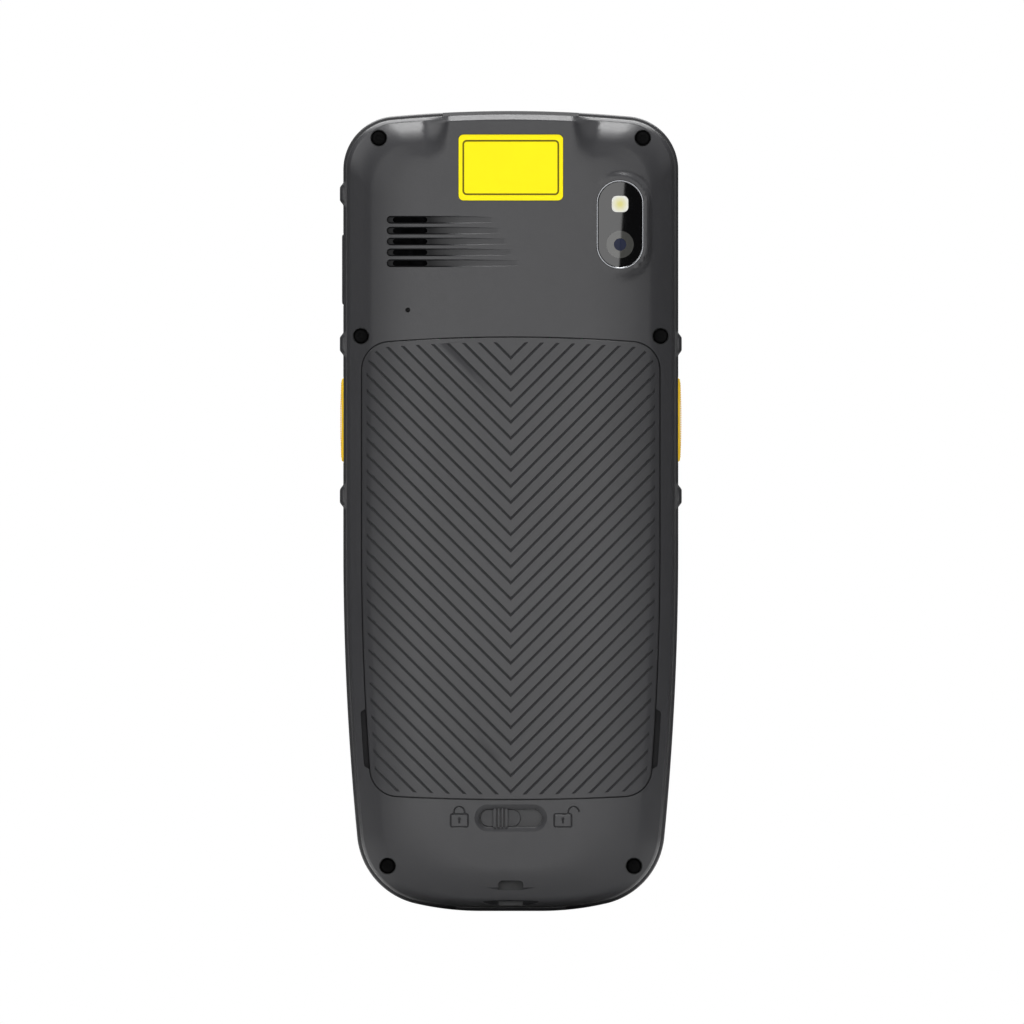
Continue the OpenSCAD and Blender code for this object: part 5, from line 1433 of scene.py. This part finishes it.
class TERMINAL_OT_camera(bpy.types.Operator):
    """Builds the camera's polished trim, its dark glass, the lens and the flash"""

    bl_idname = "terminal.camera"
    bl_label = "Camera"

    def execute(self, context):
        def shape(g):
            return stadium(CAMERA_SIZE[0] + g, CAMERA_SIZE[1] + g, *CAMERA, 24)

        def eye(g):
            return circle(2.75 + g, CAMERA[0], LENS_Z, 64)

        def flash(g):
            return rounded(3.35 + g, 3.3 + g, 1.0 + g / 2, CAMERA[0], FLASH_Z, 8)

        bead = [(0, -8.15), (0, -8.8), (-0.12, -8.93), (-0.35, -8.95), (-0.6, -8.9), (-0.68, -8.8),
                (-0.68, -8.15)]
        ring = loft([[(x, y, z) for x, z in shape(g)] for g, y in bead], True)
        add_piece("camera_trim_bead", ring, "root", [finish("trim")], ["camera_trim"], 50)

        # The lens and the flash lie in pockets of the glass
        front = BACK_Y + 0.18
        behind = front + 0.12
        plate = stack(shape, [(-0.72, -8.1), (-0.72, front + 0.05), (-0.82, front)])
        pockets = [prism(eye(0), front - 1, behind), prism(flash(0), front - 1, behind)]
        add_piece("camera_window_glass", combined(plate, pockets), "root",
                  [finish("camera")], ["camera_window"])
        ring = combined(prism(eye(-0.02), front, behind), [prism(eye(-1.5), front - 1, front + 1)])
        add_piece("camera_lens_ring", ring, "root", [finish("lens")])
        core = stack(lambda g: eye(-1.52 + g), [(0, behind), (0, front + 0.02), (-0.1, front)])
        add_piece("camera_lens_core", core, "root", [finish("lens_core")])
        light = stack(flash, [(-0.04, behind), (-0.04, front + 0.03), (-0.12, front)])
        add_piece("camera_flash_lens", light, "root", [finish("flash")])
        return {"FINISHED"}


class TERMINAL_OT_label(bpy.types.Operator):
    """Builds the bare label with its printed border line"""

    bl_idname = "terminal.label"
    bl_label = "Label"

    def execute(self, context):
        w, h, z = LABEL
        line_w, line_h, pen = LABEL_LINE
        film = stack(lambda g: rounded(w + g, h + g, 1 + g / 2, 0, z),
                     [(0, -8.75), (0, -8.9), (-0.1, -8.95)])
        bm = bmesh.new()
        bm.from_mesh(film)
        loops = [[bm.verts.new((x, -8.956, pz)) for x, pz in
                  rounded(line_w + g, line_h + g, 0.7 + g / 2, 0, z, 8)] for g in (pen, -pen)]
        outer, inner = loops
        for i in range(len(outer)):
            j = (i + 1) % len(outer)
            face = bm.faces.new((outer[i], outer[j], inner[j], inner[i]))
            face.normal_update()
            if face.normal.y > 0:
                face.normal_flip()
            face.material_index = 1
        mesh = bpy.data.meshes.new("film")
        bm.to_mesh(mesh)
        bm.free()
        add_piece("rear_label_film", mesh, "root", [finish("label"), finish("label_line")],
                  ["rear_label"])
        return {"FINISHED"}


class TERMINAL_OT_screws(bpy.types.Operator):
    """Builds the six housing screws with bevelled heads and star drives"""

    bl_idname = "terminal.screws"
    bl_label = "Screws"

    def execute(self, context):
        screws = []
        for cx, z in [(s * x, z) for x, z in SCREWS for s in (1, -1)]:
            head = stack(lambda g: circle(1.5 + g, cx, z, 32),
                         [(0, SCREW_HEAD_Y), (0, -3.3), (-0.2, -3.55), (-0.35, -3.6)])
            shank = prism(circle(1.0, cx, z, 16), SCREW_HEAD_Y - 0.1, 4.4)
            star = []
            for i in range(12):
                a, r = math.pi / 6 * i, 0.56 if i % 2 else 0.78
                star.append((cx + r * math.cos(a), z + r * math.sin(a)))
            screws.append(combined(combined(head, [shank], "UNION"), [prism(star, -4, -2.8)]))
        add_piece("housing_screw_set", joined(screws), "root", [finish("screw")],
                  ["housing_screws"])
        return {"FINISHED"}


class TERMINAL_OT_display(bpy.types.Operator):
    """Builds the display's cover glass with its bevelled edge"""

    bl_idname = "terminal.display"
    bl_label = "Display glass"

    def execute(self, context):
        def shape(g):
            return rounded(GLASS_W + g, GLASS_H + g, GLASS_R - 0.1 + g / 2, 0, GLASS_Z, 10)

        glass = stack(shape, [(0, GLASS_Y0), (0, GLASS_Y1 - 0.15), (-0.15, GLASS_Y1 - 0.04),
                              (-0.4, GLASS_Y1)])
        add_piece("display_cover_glass", glass, "root", [finish("glass")],
                  ["display_glass"])
        return {"FINISHED"}


INNER_FINISHES = {
    "housing_seal": "seal", "screw_inserts": "brass", "display_panel": "panel", "keypad_mat": "mat",
    "keypad_board": "board", "main_board": "board", "shield_cans": "steel", "side_switches": "steel",
    "vibration_motor": "steel", "usb_port": "steel", "earpiece": "inner", "earpiece_mesh": "mesh",
    "scan_engine": "inner", "scan_window": "window", "camera_module": "inner", "flash_led": "tab",
    "loudspeaker": "inner", "speaker_mesh": "mesh", "rear_microphone": "inner",
    "battery_pack": "battery", "battery_pull_tab": "tab", "battery_contacts": "gold",
    "card_holder": "steel", "lock_keeper": "dark_steel", "lock_screws": "dark_steel",
    "catch_spring": "steel", "cover_seal": "red_seal",
}


class TERMINAL_OT_inner_pieces(bpy.types.Operator):
    """Gives the inner pieces that keep their model shape their finishes"""

    bl_idname = "terminal.inner_pieces"
    bl_label = "Inner pieces"

    def execute(self, context):
        for node, name in INNER_FINISHES.items():
            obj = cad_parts[node]
            obj.data.materials.clear()
            obj.data.materials.append(finish(name))
        return {"FINISHED"}


class TERMINAL_OT_stage(bpy.types.Operator):
    """Sets the floor, the lamps, the world and the camera"""

    bl_idname = "terminal.stage"
    bl_label = "Stage"

    def area(self, name, size, power, turn, place):
        """Rectangular lamp that shines along its own -Z."""
        lamp = bpy.data.lights.new(name, "AREA")
        lamp.shape, lamp.size, lamp.size_y, lamp.energy = "RECTANGLE", size[0], size[1], power
        obj = bpy.data.objects.new(name, lamp)
        obj.matrix_world = Matrix.Translation(place) @ turn.to_4x4()
        obj.visible_camera = False
        bpy.context.scene.collection.objects.link(obj)
        return obj

    def aimed(self, name, size, power, place, target):
        """Rectangular lamp that shines from a place to a target."""
        turn = (Vector(target) - Vector(place)).to_track_quat("-Z", "Y").to_matrix()
        return self.area(name, size, power, turn, place)

    def soft_boxes(self, power):
        """Two upright soft boxes with a leaning dark gap between them, which the camera's glass mirrors."""
        lean = Matrix.Rotation(math.radians(3.75), 3, "Y")
        turn = lean @ Matrix.Rotation(math.pi / 2, 3, "X")
        across, middle, size = lean @ Vector((1, 0, 0)), Vector((0.0263, -1.5, 0.2)), (0.6, 1.2)
        for name, gap, share, side in (("left_box", 0.0, 1.0, -1), ("right_box", 0.02, 0.75, 1)):
            self.area(name, size, power * share, turn, middle + across * (gap + size[0] / 2) * side)

    def world(self, ambient):
        """White to the camera, dim to mirrors, and soft light for everything else."""
        world = bpy.data.worlds.new("surroundings")
        world.use_nodes = True
        tree = world.node_tree
        tree.nodes.clear()
        path = tree.nodes.new("ShaderNodeLightPath")

        def math_node(operation, a, b):
            made = tree.nodes.new("ShaderNodeMath")
            made.operation = operation
            for socket, value in zip(made.inputs, (a, b)):
                if isinstance(value, float):
                    socket.default_value = value
                else:
                    tree.links.new(value, socket)
            return made.outputs[0]

        seen = math_node("MAXIMUM", path.outputs["Is Camera Ray"], path.outputs["Is Transmission Ray"])
        dimmed = math_node("MULTIPLY", path.outputs["Is Glossy Ray"], -0.8 * ambient)
        soft = math_node("ADD", dimmed, ambient)
        shades = []
        for strength in (soft, 1.0):
            node = tree.nodes.new("ShaderNodeBackground")
            node.inputs["Color"].default_value = (1, 1, 1, 1)
            if isinstance(strength, float):
                node.inputs["Strength"].default_value = strength
            else:
                tree.links.new(strength, node.inputs["Strength"])
            shades.append(node)
        mix, out = tree.nodes.new("ShaderNodeMixShader"), tree.nodes.new("ShaderNodeOutputWorld")
        tree.links.new(seen, mix.inputs[0])
        tree.links.new(shades[0].outputs[0], mix.inputs[1])
        tree.links.new(shades[1].outputs[0], mix.inputs[2])
        tree.links.new(mix.outputs[0], out.inputs[0])
        bpy.context.scene.world = world

    def execute(self, context):
        scene = context.scene
        light, colours = scene.terminal_light, scene.terminal_colours
        mesh, half = bpy.data.meshes.new("floor"), 2
        mesh.from_pydata([(-half, -half, 0), (half, -half, 0), (half, half, 0), (-half, half, 0)], [],
                         [(0, 1, 2, 3)])
        floor = bpy.data.objects.new("floor", mesh)
        scene.collection.objects.link(floor)
        f = Finish("floor")
        tone = tuple(colours.floor) + (1,)
        f.colour(f.ramp(f.noise(6.0, 3.0), shade(tone, 0.985), tone))
        f.put("Roughness", f.ramp(f.noise(400.0), 0.75, 0.85))
        f.put("Specular IOR Level", 0.1)
        # The floor fades out into the white surroundings beyond the shadow
        away = f.node("ShaderNodeVectorMath", operation="LENGTH")
        f.link(f.place, away.inputs[0])
        f.put("Alpha", f.ramp(away.outputs["Value"], 1.0, 0.0, 0.11, 0.34))
        mesh.materials.append(f.mat)
        self.world(light.ambient)
        self.aimed("top_lamp", (0.35, 0.35), light.top_power, (0.0, -0.12, 0.9), (0, 0, 0.12))
        self.aimed("far_lamp", (1.0, 0.6), light.far_power, (0.0, 0.75, 0.85), (0, 0, 0.1))
        for name, side, share in (("left_lamp", -1, 1.0), ("right_lamp", 1, 0.33)):
            self.aimed(name, (0.7, 0.7), light.side_power * share, (0.8 * side, -0.1, 0.65),
                       (0, 0, 0.15))
        self.soft_boxes(light.card_power)
        cam = bpy.data.cameras.new("camera")
        cam.type, cam.ortho_scale = "ORTHO", light.view_width
        obj = bpy.data.objects.new("camera", cam)
        obj.location = (0.00024, -0.6, 0.0798)
        obj.rotation_euler = (math.pi / 2, 0, 0)
        scene.collection.objects.link(obj)
        scene.camera = obj
        scene.view_settings.view_transform = "Standard"
        return {"FINISHED"}


class TERMINAL_PT_panel(bpy.types.Panel):
    """Lists the terminal's settings and building steps"""

    bl_idname = "TERMINAL_PT_panel"
    bl_label = "Data Terminal"
    bl_space_type = "VIEW_3D"
    bl_region_type = "UI"
    bl_category = "Terminal"

    def draw(self, context):
        layout, scene = self.layout, context.scene
        for group in (scene.terminal_sizes, scene.terminal_colours, scene.terminal_light):
            box = layout.box()
            for key in group.__annotations__:
                box.prop(group, key)
        for step in STEPS:
            layout.operator(step.bl_idname)


GROUPS = (TerminalSizes, TerminalColours, TerminalLight)
STEPS = (TERMINAL_OT_rear_housing, TERMINAL_OT_battery_cover, TERMINAL_OT_front_housing,
         TERMINAL_OT_keypad, TERMINAL_OT_side_keys, TERMINAL_OT_lock, TERMINAL_OT_camera,
         TERMINAL_OT_label, TERMINAL_OT_screws, TERMINAL_OT_display, TERMINAL_OT_inner_pieces,
         TERMINAL_OT_stage)


def register():
    for cls in GROUPS + STEPS + (TERMINAL_PT_panel,):
        bpy.utils.register_class(cls)
    bpy.types.Scene.terminal_sizes = PointerProperty(type=TerminalSizes)
    bpy.types.Scene.terminal_colours = PointerProperty(type=TerminalColours)
    bpy.types.Scene.terminal_light = PointerProperty(type=TerminalLight)


def unregister():
    del bpy.types.Scene.terminal_light
    del bpy.types.Scene.terminal_colours
    del bpy.types.Scene.terminal_sizes
    for cls in reversed(GROUPS + STEPS + (TERMINAL_PT_panel,)):
        bpy.utils.unregister_class(cls)


def main():
    register()
    for step in STEPS:
        family, _, name = step.bl_idname.partition(".")
        getattr(getattr(bpy.ops, family), name)()


if __name__ == "__main__":
    main()
